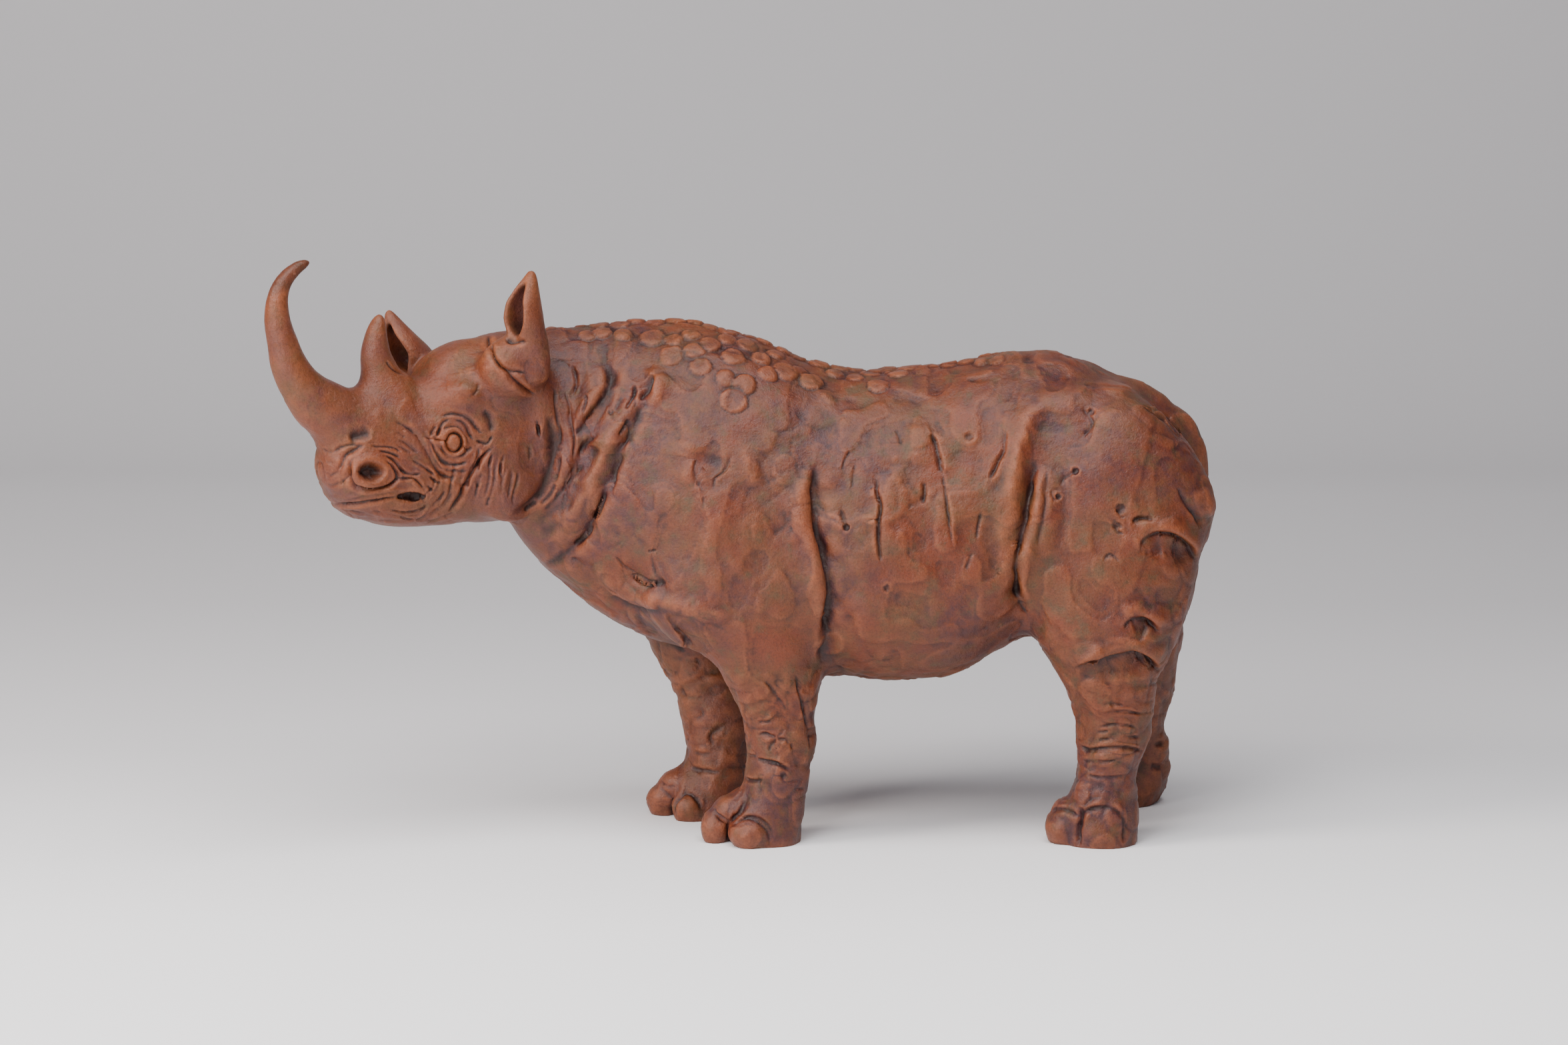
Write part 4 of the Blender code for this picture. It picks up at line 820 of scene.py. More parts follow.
        ((6, -1.3, 0), ((222.9, 47.9), (237.3, 48.6), (251.7, 46.7))),
        ((2.6, 3, 0.3), ((218.1, 16), (217.1, 8.3), (215.4, -0.1), (216.6, -8))),
        ((2.2, 1.8, 0.2, 0.6), (
            (218.1, 11.6), (222.9, 14.5), (232.5, 15.5), (240.9, 12.6), (244.9, 7.1),
        )),
        ((2.2, 2.2, 0.2), ((244.5, 8.8), (245.2, 1.1), (244, -6.6))),
        ((2.2, 1.6, 0.2), ((196.9, 11.9), (202.5, 14.3), (209.7, 13.1), (216.1, 9.2))),
        ((2, 1.2, 0.1), ((218.6, 15.5), (223.3, 20.3), (230.6, 22.2))),
        ((2.6, 2.2, 0.2), ((16.2, 94.8), (20.4, 91.5), (24.6, 85.4), (28.8, 79.9), (30.9, 76.5))),
        ((1.9, 1.8, 0.1, -0.8), (
            (36.1, 100.1), (37.7, 91.7), (39.8, 84.3), (41.4, 77), (42.9, 70.7), (45, 64.4),
            (45.6, 58.1), (45.6, 51.8),
        )),
        ((1.4, 1.2, 0.3), ((24.8, 60), (21.4, 60.7), (17.7, 62.1), (12.5, 61.2))),
        ((1.4, 1.2, 0.3), ((24.8, 60.2), (27.2, 62.3), (29, 64.9))),
        ((1.4, 1.2, 0.3), ((25.1, 60), (27.7, 58.5), (30.9, 57.9), (33, 55.5))),
        ((1.4, 1.2, 0.3), ((24.6, 59.6), (22.5, 56.5), (20.6, 53.9), (20.4, 50.7))),
        ((1.5, 1.2, 0.3), ((21.4, 70.5), (18.8, 69.4), (15.6, 69.4), (12, 68.4))),
        ((3.6, -1.1, 0), ((18.8, 59.7), (19.5, 56.5))),
        ((3.6, -1.1, 0), ((26.1, 55.1), (27.9, 53.4))),
        ((4, -1.1, 0), ((20.4, 74.9), (22.5, 72.6))),
        ((1.8, 1.4, 0.3, 0.5), ((10.9, 46.7), (18.3, 45), (24.6, 43.2), (29.3, 40.8), (33.5, 39.2))),
        ((3, 1.8, 0.1), ((27.5, 34.1), (30, 35.2), (31.7, 36.6))),
        ((1.7, 1.3, 0.3, 0.5), ((3.4, 35), (7.2, 32.7), (12, 32.3), (16.2, 33.4))),
        ((1.6, 1.1, 0.2, 0.4), ((5.1, 49.7), (8.8, 48.1), (12, 48.4))),
        ((1.4, 1.2, 0.1), ((34, 56.2), (34.4, 52.6))),
        ((1.8, 1.3, 0.1), ((41.9, 27.4), (38.2, 27.2))),
        ((2, 1.6, 0.1, 0.5), ((-14.1, 15.2), (-14.5, 12.9), (-11.7, 10.6), (-8.5, 8.5), (-4.8, 6.4))),
        ((3, 1.5, 0.1), ((-4.3, 7.2), (-0.1, 11.4), (3, 16.1), (5.7, 20.3))),
        ((2, 1.2, 0.1, 0.5), (
            (2.5, 9.2), (7.2, 9.8), (12.5, 8.9), (17.2, 5.8), (20.9, 1.2), (22.5, -4.1),
        )),
        ((1.6, 1.6, 0.2), (
            (-115.7, 280.4), (-115.5, 272.2), (-114.2, 262), (-112.6, 253.1), (-112.9, 244.2),
        )),
        ((1.8, 1.9, 0.2), (
            (-109.6, 278.5), (-107.1, 270.9), (-105.8, 263.2), (-104.8, 255.6), (-103.8, 248),
            (-103.5, 241.6), (-104.5, 235.2),
        )),
        ((1.5, 1.3, 0.2), ((-104.9, 295.1), (-102.8, 288.7), (-102.4, 282.3), (-104, 276))),
        ((1.4, 1.2, 0.2), ((-106.6, 267.1), (-107.1, 260.7), (-105.1, 254.3))),
        ((3.2, 3.2, 0.2, -1), (
            (-86.5, 301.4), (-83.2, 294.4), (-80.5, 286.8), (-81.9, 280.4), (-85.8, 272.8),
            (-91.3, 265.2), (-96.7, 258.8), (-99.5, 253.7), (-100.5, 249),
        )),
        ((1.5, 1.3, 0.2), ((-95.6, 276), (-96, 270.9), (-97.9, 263.9))),
        ((1.4, 1.2, 0.2), ((-90.3, 267.1), (-92.8, 263.2), (-96, 260.7))),
        ((1.9, 1.5, 0.2), ((-87.7, 253.1), (-92.6, 248.2), (-97.4, 243.5), (-100.5, 237.2))),
        ((1.5, 1.2, 0.1), ((-78.6, 267.1), (-80.1, 264.5), (-82.4, 266))),
        ((1.9, 2, 0.1), ((-64.6, 282.3), (-65.9, 276.6), (-68.7, 270.9), (-70.6, 267.1))),
        ((2, 2, 0.1), ((-68.4, 260.7), (-71.2, 255.6), (-75, 249.9))),
        ((2, 2.2, 0.1), ((-72.5, 239.1), (-76, 232.1), (-78.1, 226.3), (-79.1, 218.7), (-81.4, 214.9))),
        ((2, 2.2, 0.1), ((-83.7, 214.9), (-85.8, 208.5), (-88.8, 201.5), (-90.9, 197.7))),
        ((2.2, 2, 0.1), ((-91.6, 194.5), (-94.7, 188.8), (-99.2, 184.3), (-103.7, 182.4))),
        ((3, 2.6, 0, 1.4), ((-54.7, 290), (-55.3, 283.6), (-57.2, 277.9), (-61.7, 272.8))),
        ((5, 1.8, 0), (
            (-90.3, 245.4), (-94.1, 235.2), (-99.8, 221.9), (-106.2, 209.2), (-111.9, 199.6),
        )),
        ((1.4, 1.2, 0.2), ((-97.9, 232.7), (-101.7, 227.6), (-106.8, 220.6), (-111.9, 213.6))),
        ((1.4, 1.1, 0.2), ((-102.8, 230.2), (-106.8, 224.4), (-110, 218.7))),
        ((1.4, 1.1, 0.2), ((-111.9, 214.9), (-117, 208.5), (-122.1, 203.4))),
        ((1.4, 1.1, 0.2), ((-115.7, 220), (-118.3, 213.6), (-124.7, 207.2))),
        ((1.4, 1.1, 0.2), ((-112.6, 237.8), (-113.5, 228.9), (-115.7, 221.2))),
        ((2.2, 1.8, 0.1), ((-126.9, 209.2), (-131, 206.2), (-134.8, 202.8))),
        ((4.6, 1.4, 0), ((-111.9, 195.8), (-118.3, 192), (-125.9, 189.4))),
        ((1.7, 1.5, 0.2), ((-105.8, 173.1), (-100.5, 170.6), (-96.7, 166.8))),
        ((1.5, 1.2, 0.1), ((-77.6, 174.2), (-71.2, 167.2), (-65.9, 162.7))),
        ((1.4, 1.2, 0.1), ((-57, 177.2), (-51.1, 178.5))),
        ((1.3, 0.8, 0.1), ((-72.5, 186.2), (-75.3, 181.8), (-80.1, 179.9), (-82.7, 179.2))),
        ((1.5, 1.1, 0.1), ((-127.5, 260.7), (-125.9, 255), (-126.1, 250.5))),
    ),
    "headFine": (
        ((0.9, 1.1, 0.3), (
            (-187.5, 245.4), (-187.1, 242), (-184.2, 239.1), (-180.4, 237.8), (-175.8, 237.8),
            (-172.4, 239.5), (-169.5, 241.6),
        )),
        ((0.8, 0.9, 0.2), (
            (-195.5, 245), (-193.8, 239.5), (-191.3, 234.5), (-188.8, 230.3), (-185.9, 228.2),
        )),
        ((0.8, 0.8, 0.2), (
            (-185.9, 228.6), (-182.1, 227.8), (-177.5, 227.8), (-173.3, 227.8), (-170.3, 229),
        )),
        ((0.9, 1.2, 0.3), ((-174.5, 244.1), (-172, 242), (-169.9, 241.6), (-168.2, 243.3))),
        ((0.9, 1.1, 0.3), ((-190.1, 250), (-188.8, 254.2), (-186.3, 258.4), (-182.9, 260.5))),
        ((0.7, 0.7, 0.2), (
            (-186.7, 254.6), (-182.9, 255.5), (-178.7, 255.9), (-175.4, 254.6), (-173.3, 251.3),
            (-170.7, 246.7),
        )),
        ((0.9, 1.1, 0.3), (
            (-179.1, 260.5), (-174.9, 259.3), (-172, 256.3), (-170.7, 253), (-169.1, 250),
            (-167, 247.1),
        )),
        ((1, 1.3, 0.3), ((-191.3, 256.7), (-193, 253), (-194.7, 249.2))),
        ((0.8, 1, 0.2), ((-187.5, 255.5), (-189.2, 252.1), (-190.5, 248.8))),
        ((1, 1, 0.3), ((-164, 242.5), (-164, 237.4), (-166.1, 232.8), (-168.6, 229))),
        ((0.9, 0.9, 0.2), ((-155.2, 238.3), (-156.9, 233.6), (-157.7, 229.4))),
        ((0.9, 0.9, 0.2), ((-147.6, 238.7), (-149.7, 231.5), (-150.6, 225.2))),
        ((0.8, 0.8, 0.2), ((-162.3, 226.9), (-163.2, 223.6))),
        ((1, 1.1, 0.3), ((-227.4, 240.8), (-222.4, 239.9), (-217.8, 238.3), (-213.6, 236.2))),
        ((0.9, 1.1, 0.3), (
            (-223.2, 237.8), (-219, 235.7), (-215.7, 232.8), (-213.6, 229.9), (-211.1, 226.9),
        )),
        ((0.9, 0.8, 0.2), ((-234.6, 245.8), (-229.5, 245.8), (-225.3, 245))),
        ((0.9, 0.9, 0.2), ((-216.9, 253), (-213.6, 251.3), (-210.6, 248.3))),
        ((0.9, 0.9, 0.3), ((-214, 247.5), (-210.2, 245.4), (-206, 242), (-202.2, 239.1))),
        ((0.9, 0.8, 0.2), ((-216.1, 243.7), (-211.1, 242), (-206, 239.1))),
        ((1, 1.3, 0.4), (
            (-206, 235.3), (-201.8, 232.8), (-198, 230.3), (-194.2, 227.3), (-190.9, 224),
        )),
        ((0.9, 1.1, 0.3), ((-194.7, 224.8), (-191.7, 221.9), (-188, 220.2))),
        ((0.8, 0.9, 0.2), ((-196.4, 218.9), (-193, 215.2))),
        ((1.1, 1.4, 0.4), (
            (-214.4, 230.7), (-211.5, 227.8), (-207.7, 226.1), (-203.5, 225.7), (-200.6, 226.5),
        )),
        ((0.8, 0.8, 0.2), ((-263.1, 242), (-259.8, 240.4), (-256.4, 239.9))),
        ((0.8, 0.7, 0.2), ((-260.6, 234.1), (-258.1, 233.6), (-255.6, 234.1))),
        ((0.9, 1, 0.3), ((-261, 227.8), (-258.1, 225.2), (-255.2, 226.5), (-252.2, 228.6))),
        ((0.9, 1.2, 0.3), ((-259.8, 220.2), (-257.2, 218.5), (-254.7, 219.4), (-251.8, 221))),
        ((0.9, 1, 0.2), ((-198.9, 209.7), (-198, 207.6), (-199.7, 205.9), (-202.7, 206.3))),
        ((0.9, 0.9, 0.2), ((-219, 200), (-213.6, 198.8), (-208.5, 197.5), (-204.3, 197.1))),
        ((1, 1, 0.3), (
            (-204.3, 197.1), (-200.1, 197.9), (-195.9, 200), (-192.2, 202.1), (-188.8, 204.7),
        )),
        ((0.8, 0.7, 0.2), ((-246.3, 202.6), (-240.5, 201.7), (-235.4, 201.3))),
        ((0.8, 0.8, 0.2), ((-231.2, 203.4), (-227, 201.7), (-222.8, 199.2))),
        ((0.9, 0.9, 0.2), ((-197.6, 196.3), (-190.9, 197.1), (-184.2, 199.6), (-179.1, 201.7))),
        ((0.8, 0.8, 0.2), ((-185.4, 215.6), (-187.1, 211), (-190.5, 208), (-193.4, 205.1))),
        ((0.8, 0.8, 0.2), ((-180.8, 214.3), (-182.9, 209.3), (-186.7, 205.1))),
        ((1.6, -1, 0), (
            (-259.4, 212.6), (-252.6, 211), (-244.2, 211.8), (-233.7, 214.3), (-223.2, 216),
            (-212.7, 217.3),
        )),
        ((3, -1.2, 0), ((-174.9, 284), (-170.7, 280.7), (-169.1, 276.5))),
        ((3.4, -0.9, 0), ((-177.5, 289.1), (-172.4, 290.8), (-167.4, 289.1))),
        ((1.6, 0.8, 0.1), ((-168.2, 275.6), (-164.9, 279), (-164, 284))),
        ((1, 1, 0.2), ((-222.8, 297.5), (-220.3, 294.1), (-216.1, 290.8), (-211.1, 288.7))),
        ((1, 1, 0.3), ((-163.1, 225.8), (-163.7, 221.3), (-165, 216.8))),
        ((1, 1, 0.3), ((-157.3, 211.7), (-158.2, 208.5), (-159.2, 205.3))),
        ((1, 0.9, 0.3), ((-150.2, 234.8), (-149.8, 228.4), (-149.6, 223.3))),
        ((1, 0.9, 0.3), ((-142.5, 228.4), (-143.8, 219.4), (-145.1, 210.4))),
        ((1, 0.9, 0.3), ((-127.1, 258), (-125.8, 253.5), (-125.1, 249))),
        ((1, 0.9, 0.3), ((-132.2, 243.8), (-131.6, 239.3), (-131.6, 234.8))),
    ),
    # on the inner faces of the off-side legs, as seen from the left
    "offLegs": (
        ((1.8, 1.4, 0.3), ((-35.3, 91.7), (-34.5, 87.5), (-31.1, 85), (-24.8, 84.8), (-21.6, 85.9))),
        ((1.6, 1.2, 0.2), ((-21.6, 77), (-22.1, 73.3), (-25.8, 71.9))),
        ((2.2, 2.2, 0.4), ((-9, 66.5), (-13, 64.4), (-16.2, 61.2), (-16.6, 57.6), (-14.3, 54.7))),
        ((3.6, -1.4, 0), ((-12.4, 60.2), (-12.2, 58.6))),
        ((1.7, 1.3, 0.3, 0.5), ((-27.9, 50.7), (-22.2, 49.4), (-16.4, 49.7))),
        ((1.8, 1.5, 0.3, 0.5), (
            (-30, 41.3), (-24.8, 39.4), (-19.5, 38.7), (-14.3, 37.9), (-10.9, 39.7),
        )),
        ((1.8, 1.5, 0.3), ((-49.1, 32.7), (-45.8, 29.5), (-42.1, 28.4), (-39, 29.7))),
        ((2.8, 3, 0.4), ((-31.3, 26.6), (-35.8, 22.6), (-39.3, 19.2), (-41, 15), (-40, 10.3))),
        ((2, 1.8, 0.3), ((-34.4, 24), (-29, 23.4), (-25, 19.2), (-22.5, 12.9))),
        ((1.8, 1.4, 0.2), ((-48.9, 28.7), (-44.7, 24), (-41.6, 20.8))),
        ((1.8, 1.2, 0.2), ((-48.9, 121.1), (-40.5, 116.9), (-33.2, 113.7))),
        ((1.8, 1.4, 0.2), ((-26.9, 110.4), (-24.6, 106.2), (-25.6, 102))),
        ((5, -1.2, 0), ((-30, 99), (-29, 95.9))),
        ((5, -1.2, 0), ((-17.4, 99), (-16.4, 93.8))),
        ((2.2, 1.8, 0.2), ((261.3, 41.4), (268.5, 40))),
        ((2.2, 1.8, 0.2), ((264.1, 54.4), (269.7, 56.3))),
    ),
    # guide line, how many, gap, width, depth, seed
    "headFamilies": (
        (((-186, 224), (-189, 215), (-196, 206), (-205, 199)), 5, 2.8, 0.8, 0.7, 22),
        (((-250, 203), (-233, 199), (-215, 197), (-196, 198)), 4, 2.4, 0.8, 0.6, 23),
        (((-157, 240), (-159, 223), (-161, 208)), 9, 5.0, 0.8, 0.6, 24),
        (((-205, 262), (-196, 250), (-190, 240)), 4, 3.2, 0.9, 0.5, 27),
    ),
    "eye": {"middle": (-179.5, 246.4), "ball": 4.0, "rise": 1.3},
    "nostril": {"middle": (-231.6, 227.4), "radii": (8.8, 6.6), "depth": 9.0, "rim": 0.3},
    "mouthCorner": {"middle": (-206.8, 211.6), "radii": (8.6, 2.9), "depth": 3.0, "rim": 0.2},
    # small round dents: across, up, radius
    "pits": (
        (146.5, 249.9, 2.4), (68.8, 192.3, 2.0), (213.7, 227.8, 2.2), (223.7, 265.3, 2.0), (203, 211.8, 1.8),
        (94.5, 153.9, 2.0), (242.5, 204, 3.2), (240.5, 193.3, 2.2),
    ),
}


def roundDent(skin, dent, offSide, inHeadOnly=True):
    # a hole with a steep eased wall, inside a raised rim; returns where its floor is
    seen, counts, inHead = nearView(skin, offSide)
    off = np.linalg.norm((seen[:, :2] - dent["middle"]) / dent["radii"], axis=1)
    counts = counts * (inHead if inHeadOnly else 1)
    push(skin, (dent["rim"] * np.exp(-(((off - 1.5) / 0.35) ** 2)) - dent["depth"] * ease(1.12 - off, 0, 0.3)) * counts)
    return ease(1.1 - off, 0, 0.25) * (counts > 0)


def eyeball(skin):
    # a low dome inside the ring that is carved around it, and the swell of the lids outside
    eye = folds["eye"]
    seen, counts, inHead = nearView(skin, 0.9)
    off = np.linalg.norm((seen[:, :2] - eye["middle"]) / (0.92, 1.1), axis=1)
    dome = eye["rise"] * np.sqrt(np.maximum(1 - (off / eye["ball"]) ** 2, 0))
    lids = 0.7 * np.exp(-(((off - eye["ball"] - 3.6) / 1.3) ** 2))
    push(skin, (dome + lids) * counts * inHead)


pellets = {
    # pressed clay discs on the near side of the back: across, up, radius
    "near": (
        (-95, 314, 5), (-86, 315, 5.2), (-72, 314, 5.6), (-53, 313, 6.8), (-43, 301, 7),
        (-40, 311, 5.4), (-27, 304, 5.8), (-30, 314, 5), (-18, 308, 6), (-24, 294, 6.2),
        (-8, 287, 5.4), (4, 283, 6.3), (-2, 272, 7.2), (-3, 300, 6.6), (-7, 311, 5.6), (6, 307, 6.2),
        (14, 298, 5.2), (19, 288, 5.2), (30, 290, 6.6), (24, 301, 5.2), (39, 291, 4.8), (46, 284, 6.8),
        (88, 281, 5.6), (62, 289, 5.2), (74, 287, 5), (84, 289, 5.6), (94, 292, 5.4), (101, 288, 5.4),
        (112, 295, 5), (118, 290, 5), (129, 296, 5.2), (154, 297, 4.6), (164, 298, 5),
    ),
    "height": 1.3,
    "wider": 1.12,  # than where they are set
    "crest": (-98, 150, 11.5),  # from x to x, and the gap
}


def pelletMiddles(skin):
    # those seen on the near side, their mirror, and a row along the crest
    points, seen = skin["points"], sighted(skin["points"])
    front = np.flatnonzero((skin["normals"] @ sightLines()[2] < -0.02) & (points[:, 2] > 250))
    middles = []
    for across, up, radius in pellets["near"]:
        gap = np.linalg.norm(seen[front, :2] - (across, up), axis=1)
        middle = points[front[gap.argmin()]]
        middles += [(middle, radius), (middle * (1, -1, 1) + (4, 0, 0), radius * 0.92)]
    rng = np.random.default_rng(7)
    first, last, gap = pellets["crest"]
    top = np.flatnonzero(points[:, 2] > 270)
    for x in np.arange(first, last, gap):
        side = rng.uniform(-5, 5)
        off = np.linalg.norm(points[top, :2] - (x + rng.uniform(-2, 2), side), axis=1)
        middles.append((points[top[off.argmin()]], rng.uniform(4.8, 6.2)))
    return middles


def pressPellets(skin):
    # each lifts an uneven round patch with a steep edge, a little domed, with a fine groove around it
    points = skin["points"]
    height, groove = np.zeros(len(points)), np.zeros(len(points))
    wander = 1 + 0.16 * noise(points, 6, 31)
    for k, (middle, radius) in enumerate(pelletMiddles(skin)):
        off = np.linalg.norm(points - middle, axis=1) * wander
        radius *= pellets["wider"]
        tall = pellets["height"] * (0.7 + 0.5 * (k * 7 % 5) / 4)
        patch = tall * ease(radius + 0.5 - off, 0, 1.5) - 0.2 * np.clip(off / radius, 0, 1) ** 2
        inside = off < radius + 0.5
        height = np.where(inside, np.maximum(0.6 * height, patch), height)
        groove = np.where(off < radius - 0.8, 0, groove)
        groove = np.maximum(groove, np.exp(-(((off - radius - 0.7) / 0.8) ** 2)) * (points[:, 2] > 255))
    push(skin, height - 0.4 * groove)


def handwork(skin):
    # the uneven surface that fingers and a wooden tool leave: broad lumps, dabs of clay pressed on,
    # smeared edges, and crinkles on the shins
    points = skin["points"]
    measures = toHead(points)
    inHead = ease(headPlace["length"] - measures[:, 0], 0, 30)
    horns = ease(points[:, 2] - 0.35 * np.maximum(measures[:, 0] - 30, 0), 280, 300) * inHead
    ears = ease(points[:, 2], 318, 330) * (measures[:, 0] > 60) * inHead
    calm = (1 - 0.45 * inHead) * (1 - 0.7 * np.clip(horns + ears, 0, 1))
    shins = ease(128 - points[:, 2], 0, 30) * ease(points[:, 2], 18, 34)
    drift = 7 * np.stack([noise(points, 21, seed) for seed in (41, 42, 43)], -1)
    lumps = 0.95 * noise(points, (30, 30, 40), 1) + 0.5 * noise(points + drift, 13, 2)
    lumps += 0.28 * noise(points, 6.5, 3) + 0.14 * noise(points, 3.6, 8)
    first, second = dabs(points + drift, (17, 17, 24), 4)
    seams = np.exp(-(((second - first) / 0.09) ** 2)) * ease(noise(points, 30, 5), -0.1, 0.5)
    steps = noise(points + 0.7 * drift, (14, 14, 20), 6)
    smears = ease(steps, 0.02, 0.09) * 0.7 + ease(steps, -0.34, -0.28) * 0.5
    level = noise(points + 0.6 * drift, (17, 17, 6.5), 9)
    crinkles = 0.55 * np.exp(-((level / 0.1) ** 2)) - 0.5 * noise(points, 9, 10)
    pebbles = 0.8 * noise(points + 0.5 * drift, (8, 8, 7), 12)
    worked = calm * (lumps - 0.5 * seams + smears) - shins * (crinkles - pebbles)
    tail = ease(points[:, 0], 258, 266) * ease(20 - np.abs(points[:, 1]), 0, 6)
    offHind = ease(points[:, 0], 205, 215) * ease(points[:, 1], 35, 45) * ease(150 - points[:, 2], 0, 20)
    worked += 1.7 * np.maximum(tail, offHind) * noise(points, (12, 12, 13), 13)
    push(skin, worked)


def fitted(points, low, high):
    # scaled a hair along each axis, so that the box is the solid's own
    own = points.min(0), points.max(0)
    return low + (points - own[0]) * (high - low) / (own[1] - own[0])


def makeSkin():
    size = working["mesh"]
    points, faces = masses()
    mesh = bpy.data.meshes.new("masses")
    mesh.from_pydata(enlarge(points) * mm, [], faces)
    obj = inScene("masses", mesh)
    remesh = obj.modifiers.new("one skin", "REMESH")
    remesh.mode = "VOXEL"
    remesh.voxel_size = size * mm
    mesh = evaluated(obj, "skin")
    putPoints(mesh, shrinkBack(getPoints(mesh)))
    skin = skinOf(mesh)
    print("one skin:", len(mesh.vertices), "points")
    relax(skin, 6, 3.4, 2.0)
    relax(skin, 190, blending(skin["points"]), 2.0)
    wrinkles = folds["headFine"] + tuple(line for guide in folds["headFamilies"] for line in family(*guide))
    seen, counts, inHead = nearView(skin, 0)
    near = nearFolds(seen, folds["bodyFine"]) & (inHead < 0.9) | nearFolds(seen, wrinkles) & (inHead > 0.1)
    skin = refined(skin, near & (counts > 0.1))
    print("refined where it is cut finely:", len(skin["points"]), "points")
    carve(skin, folds["body"], 0.8, 1.3)
    carve(skin, folds["head"], 0.9, 1.3, True)
    # the floors of the nostril and mouth corner, painted dark as shade in measureWear
    skin["floors"] = np.maximum(roundDent(skin, folds["nostril"], 0.9), roundDent(skin, folds["mouthCorner"], 0.9))
    print("main folds carved")
    pressPellets(skin)
    handwork(skin)
    carve(skin, folds["bodyFine"], 0.8, 1.3)
    carveOffLegs(skin)
    carve(skin, wrinkles, 0.9, 1.3, True)
    eyeball(skin)
    for across, up, radius in folds["pits"]:
        roundDent(skin, {"middle": (across, up), "radii": (radius,) * 2, "depth": 1.3, "rim": 0.3}, 0.6, False)
    print("fine wrinkles carved")
    return skin


def flatSoles(skin):
    # below the sole's thickness the height is 0, and it is squeezed just above
    height, sole, edge = skin["points"][:, 2], working["sole"], working["soleEdge"]
    points = skin["points"].copy()
    points[:, 2] = np.where(height < sole + edge, np.maximum(0, (height - sole) * (sole + edge) / edge), height)
    settle(skin, points)


def measureWear(skin):
    # how far the surface lies under its own average over 3, 14 and 90 square millimetres:
    # stain gathers where it is lower, and the clay is rubbed bare where it is higher; hollow sets plum as painted
    # shade, stain also holds painted shade on the nostril and mouth floors, and wear holds painted light on the off
    # side
    points, n = skin["points"], skin["normals"]
    small, middling, large = (
        ((spread(skin, points, area, rounds) - points) * n).sum(1) for area, rounds in ((3, 10), (14, 24), (90, 90))
    )
    cracks = 1.5 * np.clip(small - 0.06, 0, 0.4)
    stainAndShade = cracks * (0.75 + 0.5 * noise(points, (16, 16, 16), 14)) + 0.22 * np.clip(middling - 0.25, 0, 1.2)
    stainAndShade = (stainAndShade + 0.05 * np.clip(large, 0, 2)) * np.where(points[:, 2] > 328, 0.4, 1)
    wearAndLight = 1.3 * np.clip(-small - 0.04, 0, 0.5) + 0.3 * np.clip(-middling - 0.1, 0, 1)
    print("stain at 50, 90, 99 %:", np.percentile(stainAndShade, (50, 90, 99)).round(2))
    inHead = ease(headPlace["length"] - toHead(points)[:, 0], 0, 30)
    # painted shade: the floors of the nostril and mouth corner are made dark; stain on the head is made stronger
    stainAndShade = np.maximum(stainAndShade * (1 + 0.7 * inHead), 0.75 * skin["floors"])
    wearAndLight += 0.33 * inHead
    # painted light: the off side below about 130 mm, mostly its legs, is made paler as if the lamp lit it more
    wearAndLight += 0.3 * ease(points[:, 1], 5, 25) * ease(130 - points[:, 2], 0, 40)
    # painted shade: plum in the large and middling hollows; also more plum below about 70 mm, and in random patches
    # over the head
    hollow = np.clip(large / 3 + 0.3 * np.clip(middling, 0, 1), 0, 1) + 0.4 * ease(70 - points[:, 2], 0, 50)
    hollow += inHead * (0.5 * hollow + 0.8 * ease(noise(points, 15, 15), 0.05, 0.35))
    return np.clip(stainAndShade, 0, 0.86), np.clip(wearAndLight, 0, 1), hollow


def addValue(mesh, name, values):
    mesh.attributes.new(name, "FLOAT", "POINT").data.foreach_set("value", values.astype(np.float32))


def makeRhinoceros():
    skin = makeSkin()
    flatSoles(skin)
    stainAndShade, wearAndLight, hollow = measureWear(skin)
    measures = toHead(skin["points"])
    horns = ease(skin["points"][:, 2], 284, 300) * (measures[:, 0] < 62)
    tip = ease(skin["points"][:, 2] - 0.25 * measures[:, 0], 356, 357.5) * (measures[:, 0] < 20)
    mesh = skin["mesh"]
    marks = {"stainAndShade": stainAndShade, "wearAndLight": wearAndLight, "hollow": hollow, "horn": horns, "hornTip": tip}
    for name, values in marks.items():
        addValue(mesh, name, values)
    putPoints(mesh, enlarge(skin["points"]))
    obj = inScene("rhinoceros", mesh)
    thin = obj.modifiers.new("fewer faces where it is flat", "DECIMATE")
    thin.use_collapse_triangulate = True
    thin.ratio = min(1, working["triangles"] / (2 * len(mesh.polygons)))
    mesh = evaluated(obj, "rhinoceros")
    low, high = (np.array(corner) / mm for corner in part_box(node))
    points = shrinkBack(getPoints(mesh))
    own = points.min(0), points.max(0)
    putPoints(mesh, fitted(points, low, high))
    mesh.shade_smooth()
    obj = inScene("rhinoceros", mesh)
    print("rhinoceros:", len(mesh.polygons), "triangles")
    return obj, (low + high - own[0] - own[1]) / 2 * (1, 1, 0)


# terracotta


def linear(hexColour):
    # the sRGB curve undone, channel by channel
    channels = [int(hexColour[k : k + 2], 16) / 255 for k in (1, 3, 5)]
    return (*[c / 12.92 if c <= 0.04045 else ((c + 0.055) / 1.055) ** 2.4 for c in channels], 1)


def addNode(tree, kind, values=(), links=(), **settings):
    made = tree.nodes.new("ShaderNode" + kind)
    for name, value in settings.items():
        setattr(made, name, value)
    for name, value in dict(values).items():
        made.inputs[name].default_value = value
    for name, source in dict(links).items():
        tree.links.new(source, made.inputs[name])
    return made


def ramp(tree, source, stops):
    made = addNode(tree, "ValToRGB", links={"Fac": source})
    while len(made.color_ramp.elements) < len(stops):
        made.color_ramp.elements.new(0.5)
    for element, (place, value) in zip(made.color_ramp.elements, stops):
        element.position = place
        element.color = (value, value, value, 1)
    return made.outputs["Color"]


